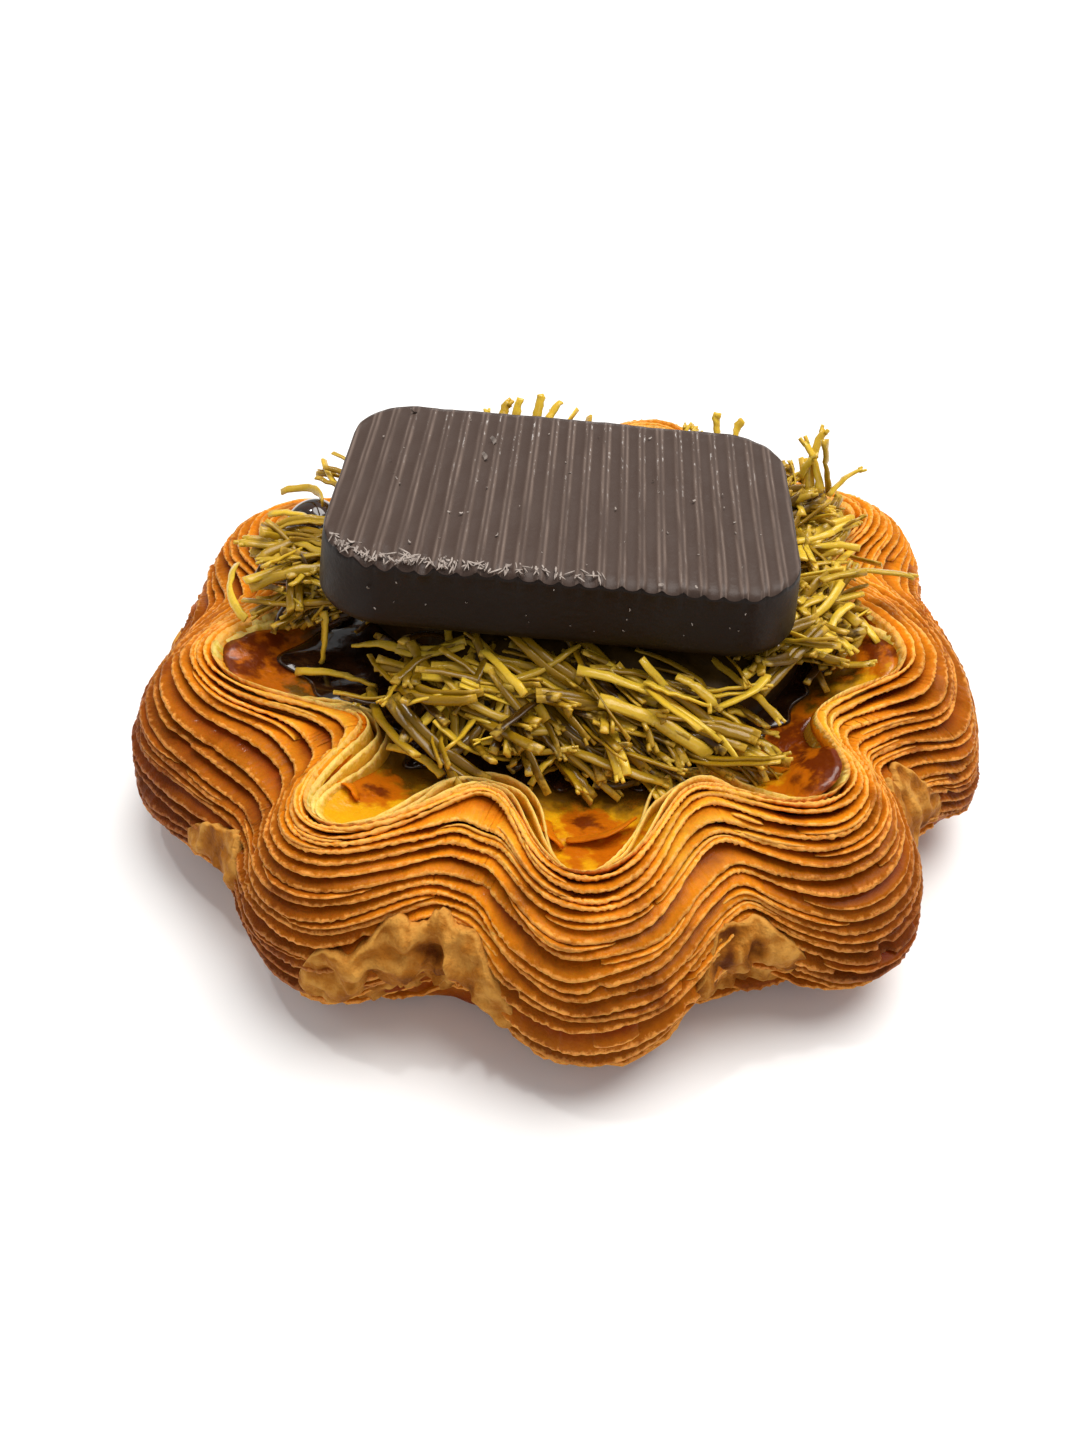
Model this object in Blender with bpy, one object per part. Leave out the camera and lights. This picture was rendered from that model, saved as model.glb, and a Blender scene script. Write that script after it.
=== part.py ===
"""Egg tart: a nine-lobed flaky pastry shell holding custard, a pool of chocolate sauce, a heap of
shredded pastry and a ridged chocolate bar. Metres, +Z up, origin on the floor under the tart."""

import math
import random

import bmesh
import bpy
from mathutils import Matrix, Vector, noise

MM = 0.001
SEED = 11
GAP = 0.35  # clearance between neighbouring pieces, mm

# Pastry shell, in millimetres and degrees. The tables go anticlockwise from the front lobe, and
# valley k lies between lobes k and k + 1. "Rim" is the inner top edge, "skirt" the lowest layer.
LOBE_COUNT = 9
STEPS_PER_LOBE = 14
FRONT_LOBE_ANGLE = -88.3
LOBE_RIM_RADII = (37.6, 36.8, 35.4, 37.6, 37.8, 37.6, 37.5, 38.7, 39.5)
LOBE_SKIRT_RADII = (46.8, 47.7, 46.4, 49.6, 48.3, 48.2, 49.4, 50.1, 47.4)
LOBE_SWAYS = (-1.1, -1.6, -7.9, -4.5, 0.0, 8.0, 5.4, 2.1, 1.6)
VALLEY_RIM_RADII = (28.7, 29.2, 26.3, 28.0, 28.0, 28.0, 28.1, 27.8, 28.1)
VALLEY_SKIRT_RADII = (41.4, 41.6, 44.9, 43.5, 43.6, 43.7, 47.4, 44.8, 41.3)
VALLEY_SWAYS = (0.0, -6.4, -0.1, 0.0, 0.1, 5.0, 1.9, 7.2, 1.1)
VALLEY_SHARPNESS = (1.02, 0.97, 0.92, 0.89, 0.89, 0.89, 0.87, 1.02, 1.10)
LOBE_RIM_HEIGHT = 22.7
VALLEY_RIM_HEIGHT = 21.5
LOBE_SKIRT_HEIGHT = 6.3
VALLEY_SKIRT_HEIGHT = 10.2
PINCH = 1.3  # degrees by which the lobes swell over the valleys
PROFILE_FULLNESS = 1.1  # 1 is a quarter ellipse from rim to skirt, more is flatter

LAYER_COUNT = 12
LAYER_GROOVE = 1.25  # depth between two layers
LAYER_GROOVE_AT = 0.30  # where the groove lies between one edge and the next
LAYER_WANDER = 0.22  # how far an edge strays, in layer spacings
WANDER_DETAIL = 3.1

UNDER_HEIGHT = 0.55  # of the skirt's height
UNDER_REACH = 0.955  # of the skirt's radius
FOOT_HEIGHT = 1.9
FOOT_RADIUS = 39.4
FOOT_LOBE = 2.6
BASE_RADIUS = 36.6
BASE_LOBE = 1.1
CRUMPLE = 0.55

FLOOR_THICKNESS = 3.4
FLOOR_RADIUS = 21.0
FLOOR_CORNER_RADIUS = 24.6
FLOOR_CORNER_HEIGHT = 5.0
WALL_LEVELS = (0.0, 0.42, 0.70)  # of the way from the floor corner to the rim
WALL_FLARE = 0.62  # below 1 the wall widens low down

# Custard: flat in the middle, from where it climbs to the wall. Levels are shares of the wall.
CUSTARD_LEVELS = (0.86, 0.88, 0.90, 0.80, 0.80, 0.80, 0.70, 0.90, 0.90)
VALLEY_CUSTARD_LEVEL = 0.80
CUSTARD_HEIGHT = 15.8
CUSTARD_FLAT = 0.55  # of the way to the wall

# Chocolate sauce: a pool on the custard, with one blob risen above the rim.
SAUCE_REACHES = (0.60, 0.66, 0.78, 0.84, 0.80, 0.80, 0.95, 0.86, 0.64)
SAUCE_THICKNESS = 1.7
SAUCE_BANK = 0.5
SAUCE_RINGS = (0.90, 0.55)
BLOB_CENTRE = (-29.7, 11.8, 22.2)
BLOB_RADII = (3.7, 3.7, 4.2)

# Chocolate bar: the centre of its ridged top face, its size there and its tilt.
BAR_CENTRE = (-0.9, 1.1, 35.0)
BAR_YAW = -3.7
BAR_PITCH = 1.2
BAR_ROLL = 3.8
BAR_LENGTH = 46.2
BAR_DEPTH = 28.2
BAR_THICKNESS = 7.4
BAR_CORNER = 6.3
BAR_CORNER_STEPS = 7
BAR_DRAFT = 1.0
BAR_FOOT_ROUND = 0.9
RIDGE_PITCH = 1.93
RIDGE_DEPTH = 0.3
RIDGE_CREST = 0.35  # of the pitch
RIDGE_SKIM = 0.02  # taken off the crests too, so that the cutter meets the whole face
CUTTER_HEIGHT = 3.0
BAR_EDGE = (0.15, -0.35)  # the worn upper edge: how far out it starts, and how far down

# Shredded pastry: a low core under the bar with strands fused on.
HEAP_STEPS = 40
HEAP_FRONT = 22.8
HEAP_FRONT_SLOPE = 1.15  # reach lost in front for each millimetre of height
HEAP_BACK = 26.0
HEAP_SIDE = 25.4
HEAP_BRIM_BACK = 5.0  # how far the heap spreads over the rim
HEAP_BRIM_SIDE = 6.5
HEAP_BLOB_DENT = 20.0  # degrees either side of the blob that the brim leaves free
HEAP_NOTCH = 0.30  # of the reach, where the sauce shows at the front left
HEAP_NOTCH_ANGLE = -152.0
HEAP_NOTCH_WIDTH = 17.0
HEAP_FOOT_HEIGHT = 18.7
# Share of the reach, share of the brim and height. The last level is pressed flat by the bar.
HEAP_LEVELS = (
    (0.93, 0.0, HEAP_FOOT_HEIGHT),
    (1.00, 0.0, 20.4),
    (1.00, 0.0, 22.7),
    (1.00, 1.0, 24.1),
    (0.93, 0.7, 25.5),
    (0.72, 0.0, 30.0),
)
HEAP_TOP_UNDER_BAR = 0.5
HEAP_ROUGHNESS = 0.9
HEAP_DETAIL = 4.0
STRAND_COUNT = 70
STRAND_RADIUS = 0.64
STRAND_LENGTHS = (9.0, 16.0)
STRAND_POINTS = 4
STRAND_BEND = 1.2
STRAND_TRIES = 80
STRAND_LEVELS = (0.8, 4.8)  # between these levels of the heap
STRAND_TWIST = 37.0  # degrees from one strand's square section to the next
STRAND_LIFT = 0.25
STRAND_ROOM = 1.45 * STRAND_RADIUS + GAP  # free space round a strand's centre line
RIM_PASS_HEIGHT = 24.2

# One strand in so many is a spoke, which points outwards. The others lie along the heap. Each kind
# has its turn from the outward direction, the scatter of that, its climb and its inner share.
STRAND_SPOKES = 3
SPOKE = (0.0, 45.0, (-30.0, 25.0), 0.35)
BINDER = (90.0, 50.0, (-22.0, 22.0), 0.5)

COLOURS = {
    "pastry_shell": ((0.62, 0.30, 0.09), 0.42),
    "custard": ((0.66, 0.35, 0.05), 0.25),
    "chocolate_sauce": ((0.022, 0.009, 0.005), 0.12),
    "kataifi": ((0.36, 0.24, 0.035), 0.32),
    "chocolate_bar": ((0.060, 0.040, 0.036), 0.40),
}


def clear_scene():
    for obj in list(bpy.data.objects):
        bpy.data.objects.remove(obj, do_unlink=True)


def new_collection(name, hidden=False):
    group = bpy.data.collections.new(name)
    group.hide_render = hidden
    bpy.context.scene.collection.children.link(group)
    return group


# --- Flower shape ---------------------------------------------------------------------------


def blend(table, position):
    """Smooth round-trip interpolation of a table with one entry per lobe."""
    low = math.floor(position)
    part = position - low
    part = part * part * (3 - 2 * part)
    return table[low % LOBE_COUNT] * (1 - part) + table[(low + 1) % LOBE_COUNT] * part


def lobe_weight(turn):
    """1 at the tip of a lobe, 0 in a valley. turn counts lobes round the tart."""
    return (0.5 + 0.5 * math.cos(2 * math.pi * turn)) ** blend(VALLEY_SHARPNESS, turn - 0.5)


def flower_angle(turn, spread):
    weight = lobe_weight(turn)
    sway = blend(LOBE_SWAYS, turn) * weight + blend(VALLEY_SWAYS, turn - 0.5) * (1 - weight)
    swell = PINCH * math.sin(2 * math.pi * turn) * (0.35 + 0.65 * spread)
    return math.radians(FRONT_LOBE_ANGLE + 360 / LOBE_COUNT * turn + sway + swell)


def polar(radius, angle, height):
    return Vector((radius * math.cos(angle), radius * math.sin(angle), height))


def rim_radius(turn):
    weight = lobe_weight(turn)
    return blend(LOBE_RIM_RADII, turn) * weight + blend(VALLEY_RIM_RADII, turn - 0.5) * (1 - weight)


def skirt_radius(turn):
    weight = lobe_weight(turn)
    valley = blend(VALLEY_SKIRT_RADII, turn - 0.5)
    return blend(LOBE_SKIRT_RADII, turn) * weight + valley * (1 - weight)


def outside(turn, down):
    """A point of the smooth shell outside: down runs from 0 at the rim to 1 at the skirt."""
    weight = lobe_weight(turn)
    out = math.sin(down * math.pi / 2) ** PROFILE_FULLNESS
    rise = max(math.cos(down * math.pi / 2), 0.0) ** PROFILE_FULLNESS
    radius = rim_radius(turn) * (1 - out) + skirt_radius(turn) * out
    low = LOBE_SKIRT_HEIGHT * weight + VALLEY_SKIRT_HEIGHT * (1 - weight)
    high = LOBE_RIM_HEIGHT * weight + VALLEY_RIM_HEIGHT * (1 - weight)
    return polar(radius, flower_angle(turn, out), low + (high - low) * rise)


def outside_normal(turn, down):
    step = 0.01
    along = outside(turn + step, down) - outside(turn - step, down)
    below = outside(turn, min(down + step, 1.0)) - outside(turn, max(down - step, 0.0))
    return below.cross(along).normalized()


def wall(turn, level, inset=0.0):
    """A point of the cavity's wall: level runs from 0 at the floor corner to 1 at the rim."""
    weight = lobe_weight(turn)
    share = level**WALL_FLARE
    high = LOBE_RIM_HEIGHT * weight + VALLEY_RIM_HEIGHT * (1 - weight)
    height = FLOOR_CORNER_HEIGHT + (high - FLOOR_CORNER_HEIGHT) * level
    radius = FLOOR_CORNER_RADIUS * (1 - share) + rim_radius(turn) * share
    point = polar(radius, flower_angle(turn, 0.0), height)
    if not inset:
        return point
    step = 0.01
    tangent = wall(turn + step, level) - wall(turn - step, level)
    inward = Vector((-tangent.y, tangent.x, 0.0)).normalized()
    return point + inward * inset


def all_turns(count=LOBE_COUNT * STEPS_PER_LOBE):
    return [LOBE_COUNT * i / count for i in range(count)]


# --- Meshes ---------------------------------------------------------------------------------


def mesh_object(name, mesh, collection):
    bm = bmesh.new()
    bm.from_mesh(mesh)
    bmesh.ops.recalc_face_normals(bm, faces=bm.faces)
    bm.to_mesh(mesh)
    bm.free()
    obj = bpy.data.objects.new(name, mesh)
    collection.objects.link(obj)
    return obj


def loft(name, rings, first, last, collection):
    """A closed body through rings of equal length, in millimetres, with a point at each end."""
    steps = len(rings[0])
    points = [first] + [point for ring in rings for point in ring] + [last]
    faces = []
    for r in range(len(rings) - 1):
        for i in range(steps):
            j = (i + 1) % steps
            low = 1 + r * steps
            faces.append((low + i, low + j, low + steps + j, low + steps + i))
    end = len(points) - 1
    for i in range(steps):
        j = (i + 1) % steps
        faces.append((0, 1 + j, 1 + i))
        faces.append((end, end - steps + i, end - steps + j))
    mesh = bpy.data.meshes.new(name)
    mesh.from_pydata([point * MM for point in points], [], faces)
    return mesh_object(name, mesh, collection)


def boolean(obj, operation, other=None, collection=None):
    """Applies one Boolean of obj with an object or with a collection."""
    modifier = obj.modifiers.new(operation.lower(), "BOOLEAN")
    modifier.operation = operation
    modifier.solver = "EXACT"
    if collection:
        modifier.operand_type = "COLLECTION"
        modifier.collection = collection
    else:
        modifier.object = other
    bpy.context.view_layer.update()
    graph = bpy.context.evaluated_depsgraph_get()
    joined = bpy.data.meshes.new_from_object(obj.evaluated_get(graph))
    obj.modifiers.clear()
    obj.data = joined


def keep_largest_body(obj):
    """Drops the loose scraps and sealed hollows that a union can leave."""
    bm = bmesh.new()
    bm.from_mesh(obj.data)
    unseen = set(bm.faces)
    bodies = []
    while unseen:
        front = [unseen.pop()]
        body = list(front)
        while front:
            face = front.pop()
            for edge in face.edges:
                for near in edge.link_faces:
                    if near in unseen:
                        unseen.remove(near)
                        front.append(near)
                        body.append(near)
        bodies.append(body)
    bodies.sort(key=len)
    scraps = [face for body in bodies[:-1] for face in body]
    if scraps:
        bmesh.ops.delete(bm, geom=scraps, context="FACES")
    bm.to_mesh(obj.data)
    bm.free()


def shade(obj, smooth_below=35.0):
    """Smooth shading with the sharp edges kept."""
    for polygon in obj.data.polygons:
        polygon.use_smooth = True
    obj.data.set_sharp_from_angle(angle=math.radians(smooth_below))


def paint(obj):
    colour, roughness = COLOURS[obj.name]
    material = bpy.data.materials.new(obj.name)
    material.use_nodes = True
    shader = material.node_tree.nodes["Principled BSDF"]
    shader.inputs["Base Color"].default_value = (*colour, 1.0)
    shader.inputs["Roughness"].default_value = roughness
    shader.inputs["Metallic"].default_value = 0.0
    material.diffuse_color = (*colour, 1.0)
    obj.data.materials.clear()
    obj.data.materials.append(material)


# --- Pastry shell ---------------------------------------------------------------------------


def wander(turn, layer):
    """Slow unevenness round the tart, different on each layer and between -1 and 1."""
    angle = 2 * math.pi * turn / LOBE_COUNT
    spot = (math.cos(angle) * WANDER_DETAIL, math.sin(angle) * WANDER_DETAIL, 3.7 * layer)
    return noise.noise(Vector(spot)) * 1.6


def layer_rings():
    """Edges and grooves by turns, from the rim down to the skirt."""
    rings = []
    spacing = 1 / (LAYER_COUNT - 1)
    for layer in range(LAYER_COUNT):
        edge, groove = [], []
        for turn in all_turns():
            stray = LAYER_WANDER * wander(turn, layer) * (0 < layer < LAYER_COUNT - 1)
            down = spacing * (layer + stray)
            edge.append(outside(turn, down))
            down = spacing * (layer + LAYER_GROOVE_AT)
            if down < 1:
                depth = LAYER_GROOVE * (1 + 0.35 * wander(turn, layer + 0.5))
                groove.append(outside(turn, down) - outside_normal(turn, down) * depth)
        rings.append(edge)
        if groove:
            rings.append(groove)
    return rings


def underside_rings():
    """The crumpled crust between the skirt and the flat base."""
    under, foot, base = [], [], []
    for turn in all_turns():
        weight = lobe_weight(turn)
        angle = flower_angle(turn, 1.0)
        skirt = skirt_radius(turn)
        height = outside(turn, 1.0).z
        crumple = CRUMPLE * wander(turn * 2.0, 20)
        under.append(polar(skirt * UNDER_REACH + crumple, angle, height * UNDER_HEIGHT))
        foot_radius = FOOT_RADIUS + FOOT_LOBE * weight + CRUMPLE * wander(turn * 2.0, 23)
        foot.append(polar(foot_radius, angle, FOOT_HEIGHT))
        base.append(polar(BASE_RADIUS + BASE_LOBE * weight, angle, 0.0))
    return [under, foot, base]


def pastry_shell(collection):
    floor = [polar(FLOOR_RADIUS, flower_angle(turn, 0.0), FLOOR_THICKNESS) for turn in all_turns()]
    rings = [floor]
    for level in WALL_LEVELS:
        rings.append([wall(turn, level) for turn in all_turns()])
    rings += layer_rings() + underside_rings()
    middle = Vector((0, 0, FLOOR_THICKNESS))
    return loft("pastry_shell", rings, middle, Vector((0, 0, 0)), collection)


# --- Custard and sauce ----------------------------------------------------------------------


def custard_top(turn, share):
    """A point of the custard's top: share runs from 0 in the middle to 1 at the wall."""
    weight = lobe_weight(turn)
    level = blend(CUSTARD_LEVELS, turn) * weight + VALLEY_CUSTARD_LEVEL * (1 - weight)
    edge = wall(turn, level, GAP)
    climb = max(share - CUSTARD_FLAT, 0.0) / (1 - CUSTARD_FLAT)
    height = CUSTARD_HEIGHT + (edge.z - CUSTARD_HEIGHT) * climb
    return Vector((edge.x * share, edge.y * share, height))


def custard(collection):
    rings = [[wall(turn, level, GAP) for turn in all_turns()] for level in WALL_LEVELS[:-1]]
    rings[0] = [point + Vector((0, 0, GAP)) for point in rings[0]]
    rings.append([custard_top(turn, 1.0) for turn in all_turns()])
    rings.append([custard_top(turn, CUSTARD_FLAT) for turn in all_turns()])
    bottom = Vector((0, 0, FLOOR_CORNER_HEIGHT + GAP))
    return loft("custard", rings, bottom, Vector((0, 0, CUSTARD_HEIGHT)), collection)


def sauce_reach(turn):
    return blend(SAUCE_REACHES, turn)


def sauce_top(turn, share):
    """A point of the pool's top: share runs from 0 in the middle to 1 at its shore."""
    shore = custard_top(turn, sauce_reach(turn) * share)
    return shore + Vector((0, 0, GAP + SAUCE_THICKNESS * (1 - share**4)))


def filling_height(point):
    """Height of the sauce or the custard under a point of the cavity."""
    _, _, turn = nearest_rim(math.atan2(point.y, point.x))
    edge = custard_top(turn, 1.0)
    share = min(math.hypot(point.x, point.y) / math.hypot(edge.x, edge.y), 1.0)
    if share < sauce_reach(turn):
        return sauce_top(turn, share / sauce_reach(turn)).z
    return custard_top(turn, share).z


def chocolate_sauce(collection):
    turns = all_turns(LOBE_COUNT * STEPS_PER_LOBE // 2)
    shore = [sauce_top(turn, 1.0) for turn in turns]
    bed = [custard_top(turn, CUSTARD_FLAT) + Vector((0, 0, GAP)) for turn in turns]
    rings = [bed, shore, [point + Vector((0, 0, SAUCE_BANK)) for point in shore]]
    rings += [[sauce_top(turn, share) for turn in turns] for share in SAUCE_RINGS]
    low = Vector((0, 0, CUSTARD_HEIGHT + GAP))
    top = low + Vector((0, 0, SAUCE_THICKNESS))
    pool = loft("chocolate_sauce", rings, low, top, collection)
    mesh = bpy.data.meshes.new("blob")
    bm = bmesh.new()
    bmesh.ops.create_icosphere(bm, subdivisions=2, radius=1.0)
    bm.transform(Matrix.Translation(Vector(BLOB_CENTRE)) @ Matrix.Diagonal((*BLOB_RADII, 1.0)))
    bm.transform(Matrix.Diagonal((MM, MM, MM, 1.0)))
    bm.to_mesh(mesh)
    bm.free()
    blob = mesh_object("blob", mesh, collection)
    boolean(pool, "UNION", other=blob)
    bpy.data.objects.remove(blob)
    return pool


# --- Chocolate bar --------------------------------------------------------------------------


def bar_frame():
    """From the bar's own axes (length X, depth Y, top face at zero) to the tart's, in mm."""
    turn = Matrix.Rotation(math.radians(BAR_YAW), 4, "Z")
    turn = turn @ Matrix.Rotation(math.radians(BAR_PITCH), 4, "X")
    turn = turn @ Matrix.Rotation(math.radians(BAR_ROLL), 4, "Y")
    return Matrix.Translation(Vector(BAR_CENTRE)) @ turn


def rounded_rectangle(grow, height):
    points = []
    radius = BAR_CORNER + grow
    for quarter, (sx, sy) in enumerate(((1, 1), (-1, 1), (-1, -1), (1, -1))):
        cx = sx * (BAR_LENGTH / 2 - BAR_CORNER)
        cy = sy * (BAR_DEPTH / 2 - BAR_CORNER)
        for i in range(BAR_CORNER_STEPS + 1):
            angle = math.pi / 2 * (quarter + i / BAR_CORNER_STEPS)
            points.append(Vector((cx + radius * math.cos(angle), cy + radius * math.sin(angle), height)))
    return points


def ridge_cutter(collection):
    """A slab over the bar with a toothed underside, which leaves the ridges."""
    outline = []
    count = math.ceil(BAR_LENGTH / RIDGE_PITCH) + 2
    start = -RIDGE_PITCH * count / 2
    for i in range(count):
        x = start + RIDGE_PITCH * i
        outline.append((x, 0.0))
        outline.append((x + RIDGE_PITCH * RIDGE_CREST, 0.0))
        outline.append((x + RIDGE_PITCH * (1 + RIDGE_CREST) / 2, -RIDGE_DEPTH))
    outline.append((start + RIDGE_PITCH * count, 0.0))
    outline.append((start + RIDGE_PITCH * count, CUTTER_HEIGHT))
    outline.append((start, CUTTER_HEIGHT))
    half = BAR_DEPTH
    bm = bmesh.new()
    front = [bm.verts.new(Vector((x, -half, z - RIDGE_SKIM)) * MM) for x, z in outline]
    face = bm.faces.new(front)
    pushed = bmesh.ops.extrude_face_region(bm, geom=[face])["geom"]
    moved = [item for item in pushed if isinstance(item, bmesh.types.BMVert)]
    bmesh.ops.translate(bm, verts=moved, vec=Vector((0, 2 * half * MM, 0)))
    mesh = bpy.data.meshes.new("ridge_cutter")
    bm.to_mesh(mesh)
    bm.free()
    cutter = mesh_object("ridge_cutter", mesh, collection)
    cutter.display_type = "WIRE"
    return cutter


def chocolate_bar(collection, cutters):
    rings = [
        rounded_rectangle(BAR_DRAFT - BAR_FOOT_ROUND, -BAR_THICKNESS),
        rounded_rectangle(BAR_DRAFT - BAR_FOOT_ROUND * 0.3, -BAR_THICKNESS + BAR_FOOT_ROUND * 0.3),
        rounded_rectangle(BAR_DRAFT, -BAR_THICKNESS + BAR_FOOT_ROUND),
        rounded_rectangle(*BAR_EDGE),
        rounded_rectangle(0.0, 0.0),
    ]
    middle = Vector((0, 0, 0))
    bar = loft("chocolate_bar", rings, Vector((0, 0, -BAR_THICKNESS)), middle, collection)
    boolean(bar, "DIFFERENCE", other=ridge_cutter(cutters))
    place = bar_frame()
    place.translation *= MM
    bar.data.transform(place)
    return bar


# --- Shredded pastry ------------------------------------------------------------------------


def heap_radius(angle, level):
    """The core's radius in one direction at one of its levels, in millimetres."""
    share, brim_share, height = HEAP_LEVELS[level]
    front = HEAP_FRONT - HEAP_FRONT_SLOPE * min(height - HEAP_FOOT_HEIGHT, 8.0)
    across = HEAP_BACK if math.sin(angle) > 0 else front
    reach = 1 / math.hypot(math.cos(angle) / HEAP_SIDE, math.sin(angle) / across)
    from_notch = math.degrees(math.remainder(angle - math.radians(HEAP_NOTCH_ANGLE), 2 * math.pi))
    reach *= 1 - HEAP_NOTCH * math.exp(-((from_notch / HEAP_NOTCH_WIDTH) ** 2))
    brim = HEAP_BRIM_SIDE * math.cos(angle) ** 2 + HEAP_BRIM_BACK * max(math.sin(angle), 0) ** 2
    from_blob = abs(math.remainder(angle - math.atan2(BLOB_CENTRE[1], BLOB_CENTRE[0]), 2 * math.pi))
    dent = min(from_blob / math.radians(HEAP_BLOB_DENT), 1.0) ** 2
    return reach * share + brim * brim_share * dent


def heap_point(angle, level):
    """A point of the core's skin, between two of its levels where level isn't whole."""
    low = min(int(level), len(HEAP_LEVELS) - 2)
    part = level - low
    radius = heap_radius(angle, low) * (1 - part) + heap_radius(angle, low + 1) * part
    height = HEAP_LEVELS[low][2] * (1 - part) + HEAP_LEVELS[low + 1][2] * part
    point = polar(radius, angle, height)
    point.z = min(height, bar_underside(point.x, point.y) - HEAP_TOP_UNDER_BAR)
    return point


def bar_underside(x, y):
    """Height of the bar's lower face over a point of the plan, in millimetres."""
    frame = bar_frame()
    normal = frame.to_3x3() @ Vector((0, 0, 1))
    spot = frame @ Vector((0, 0, -BAR_THICKNESS))
    return spot.z - (normal.x * (x - spot.x) + normal.y * (y - spot.y)) / normal.z


def heap_core(collection):
    angles = [2 * math.pi * i / HEAP_STEPS for i in range(HEAP_STEPS)]
    rings = []
    for level in range(len(HEAP_LEVELS)):
        ring = []
        for angle in angles:
            spot = Vector((math.cos(angle), math.sin(angle), level)) * HEAP_DETAIL
            sunk = HEAP_ROUGHNESS * abs(noise.noise(spot))
            point = heap_point(angle, level)
            ring.append(point - Vector((math.cos(angle), math.sin(angle), 0)) * sunk)
        rings.append(ring)
    top = Vector((0, 0, bar_underside(0, 0) - HEAP_TOP_UNDER_BAR))
    return loft("kataifi", rings, Vector((0, 0, HEAP_FOOT_HEIGHT)), top, collection)


def nearest_rim(angle):
    """Angle, radius and turn of the rim sample nearest to a direction."""
    return min(RIM_SAMPLES, key=lambda sample: abs(math.remainder(sample[0] - angle, 2 * math.pi)))


def clear_of_others(point):
    """Whether a strand's centre line can pass here without crossing another piece."""
    radius = math.hypot(point.x, point.y)
    _, rim, _ = nearest_rim(math.atan2(point.y, point.x))
    if point.z < RIM_PASS_HEIGHT and radius > rim - STRAND_ROOM:
        return False
    if point.z < filling_height(point) + STRAND_ROOM:
        return False
    blob = Vector(BLOB_CENTRE)
    away = Vector([(point[i] - blob[i]) / (BLOB_RADII[i] + STRAND_ROOM) for i in range(3)])
    if away.length < 1:
        return False
    inside = bar_frame().inverted() @ point
    over = max(abs(inside.x) - BAR_LENGTH / 2, abs(inside.y) - BAR_DEPTH / 2) - BAR_DRAFT
    return over > STRAND_ROOM or inside.z < -BAR_THICKNESS - STRAND_ROOM


def strand_path(draw, index):
    """One strand's points: its middle lies in the core's skin and its ends stand clear."""
    angle = index * math.pi * (3 - math.sqrt(5))
    middle = heap_point(angle, draw.uniform(*STRAND_LEVELS))
    middle += Vector((math.cos(angle), math.sin(angle), 1.0)) * STRAND_LIFT
    offset, scatter, climbs, inner = BINDER if index % STRAND_SPOKES else SPOKE
    lean = angle + math.radians(offset + draw.uniform(-scatter, scatter))
    climb = math.radians(draw.uniform(*climbs))
    length = draw.uniform(*STRAND_LENGTHS)
    along = Vector((math.cos(lean), math.sin(lean), math.tan(climb))).normalized()
    side = along.cross(Vector((0, 0, 1))).normalized()
    bend = draw.uniform(-STRAND_BEND, STRAND_BEND)
    path = []
    for i in range(STRAND_POINTS):
        share = i / (STRAND_POINTS - 1)
        bow = bend * 4 * share * (1 - share)
        path.append(middle + along * length * (share - inner) + side * bow)
    return path


def samples_between(path, parts=3):
    for start, end in zip(path, path[1:]):
        for i in range(parts):
            yield start.lerp(end, i / parts)
    yield path[-1]


def strand(path, index, collection):
    curve = bpy.data.curves.new(f"strand_{index}", "CURVE")
    curve.dimensions = "3D"
    curve.bevel_depth = STRAND_RADIUS * MM
    curve.bevel_resolution = 0
    curve.use_fill_caps = True
    spline = curve.splines.new("POLY")
    spline.points.add(len(path) - 1)
    for spot, point in zip(spline.points, path):
        spot.co = (*(point * MM), 1.0)
        spot.tilt = math.radians(STRAND_TWIST * index)
    holder = bpy.data.objects.new(f"strand_{index}", curve)
    bpy.context.scene.collection.objects.link(holder)
    bpy.context.view_layer.update()
    graph = bpy.context.evaluated_depsgraph_get()
    mesh = bpy.data.meshes.new_from_object(holder.evaluated_get(graph))
    bpy.data.objects.remove(holder)
    bm = bmesh.new()
    bm.from_mesh(mesh)
    bmesh.ops.remove_doubles(bm, verts=bm.verts, dist=0.00001)
    bm.to_mesh(mesh)
    bm.free()
    return mesh_object(f"strand_{index}", mesh, collection)


def kataifi(collection):
    core = heap_core(collection)
    strands = new_collection("strands")
    draw = random.Random(SEED)
    for index in range(STRAND_COUNT):
        for _ in range(STRAND_TRIES):
            path = strand_path(draw, index)
            if all(clear_of_others(point) for point in samples_between(path)):
                strand(path, index, strands)
                break
    boolean(core, "UNION", collection=strands)
    for obj in list(strands.objects):
        bpy.data.objects.remove(obj)
    bpy.data.collections.remove(strands)
    keep_largest_body(core)
    return core


RIM_SAMPLES = [(flower_angle(turn, 0.0), rim_radius(turn), turn) for turn in all_turns()]

clear_scene()
tart = new_collection("egg_tart")
cutters = new_collection("cutters", hidden=True)
pieces = [pastry_shell(tart), custard(tart), chocolate_sauce(tart)]
pieces += [kataifi(tart), chocolate_bar(tart, cutters)]
for piece in pieces:
    shade(piece)
    paint(piece)
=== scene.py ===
"""Looks of the egg tart: flaky nine-lobed shell, custard, chocolate sauce, shreds and a ridged bar.

Shapes are worked out in millimetres and written to Blender in metres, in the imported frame."""
import math
import random

import bmesh
import bpy
import numpy as np
from mathutils import Matrix, Vector


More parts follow.
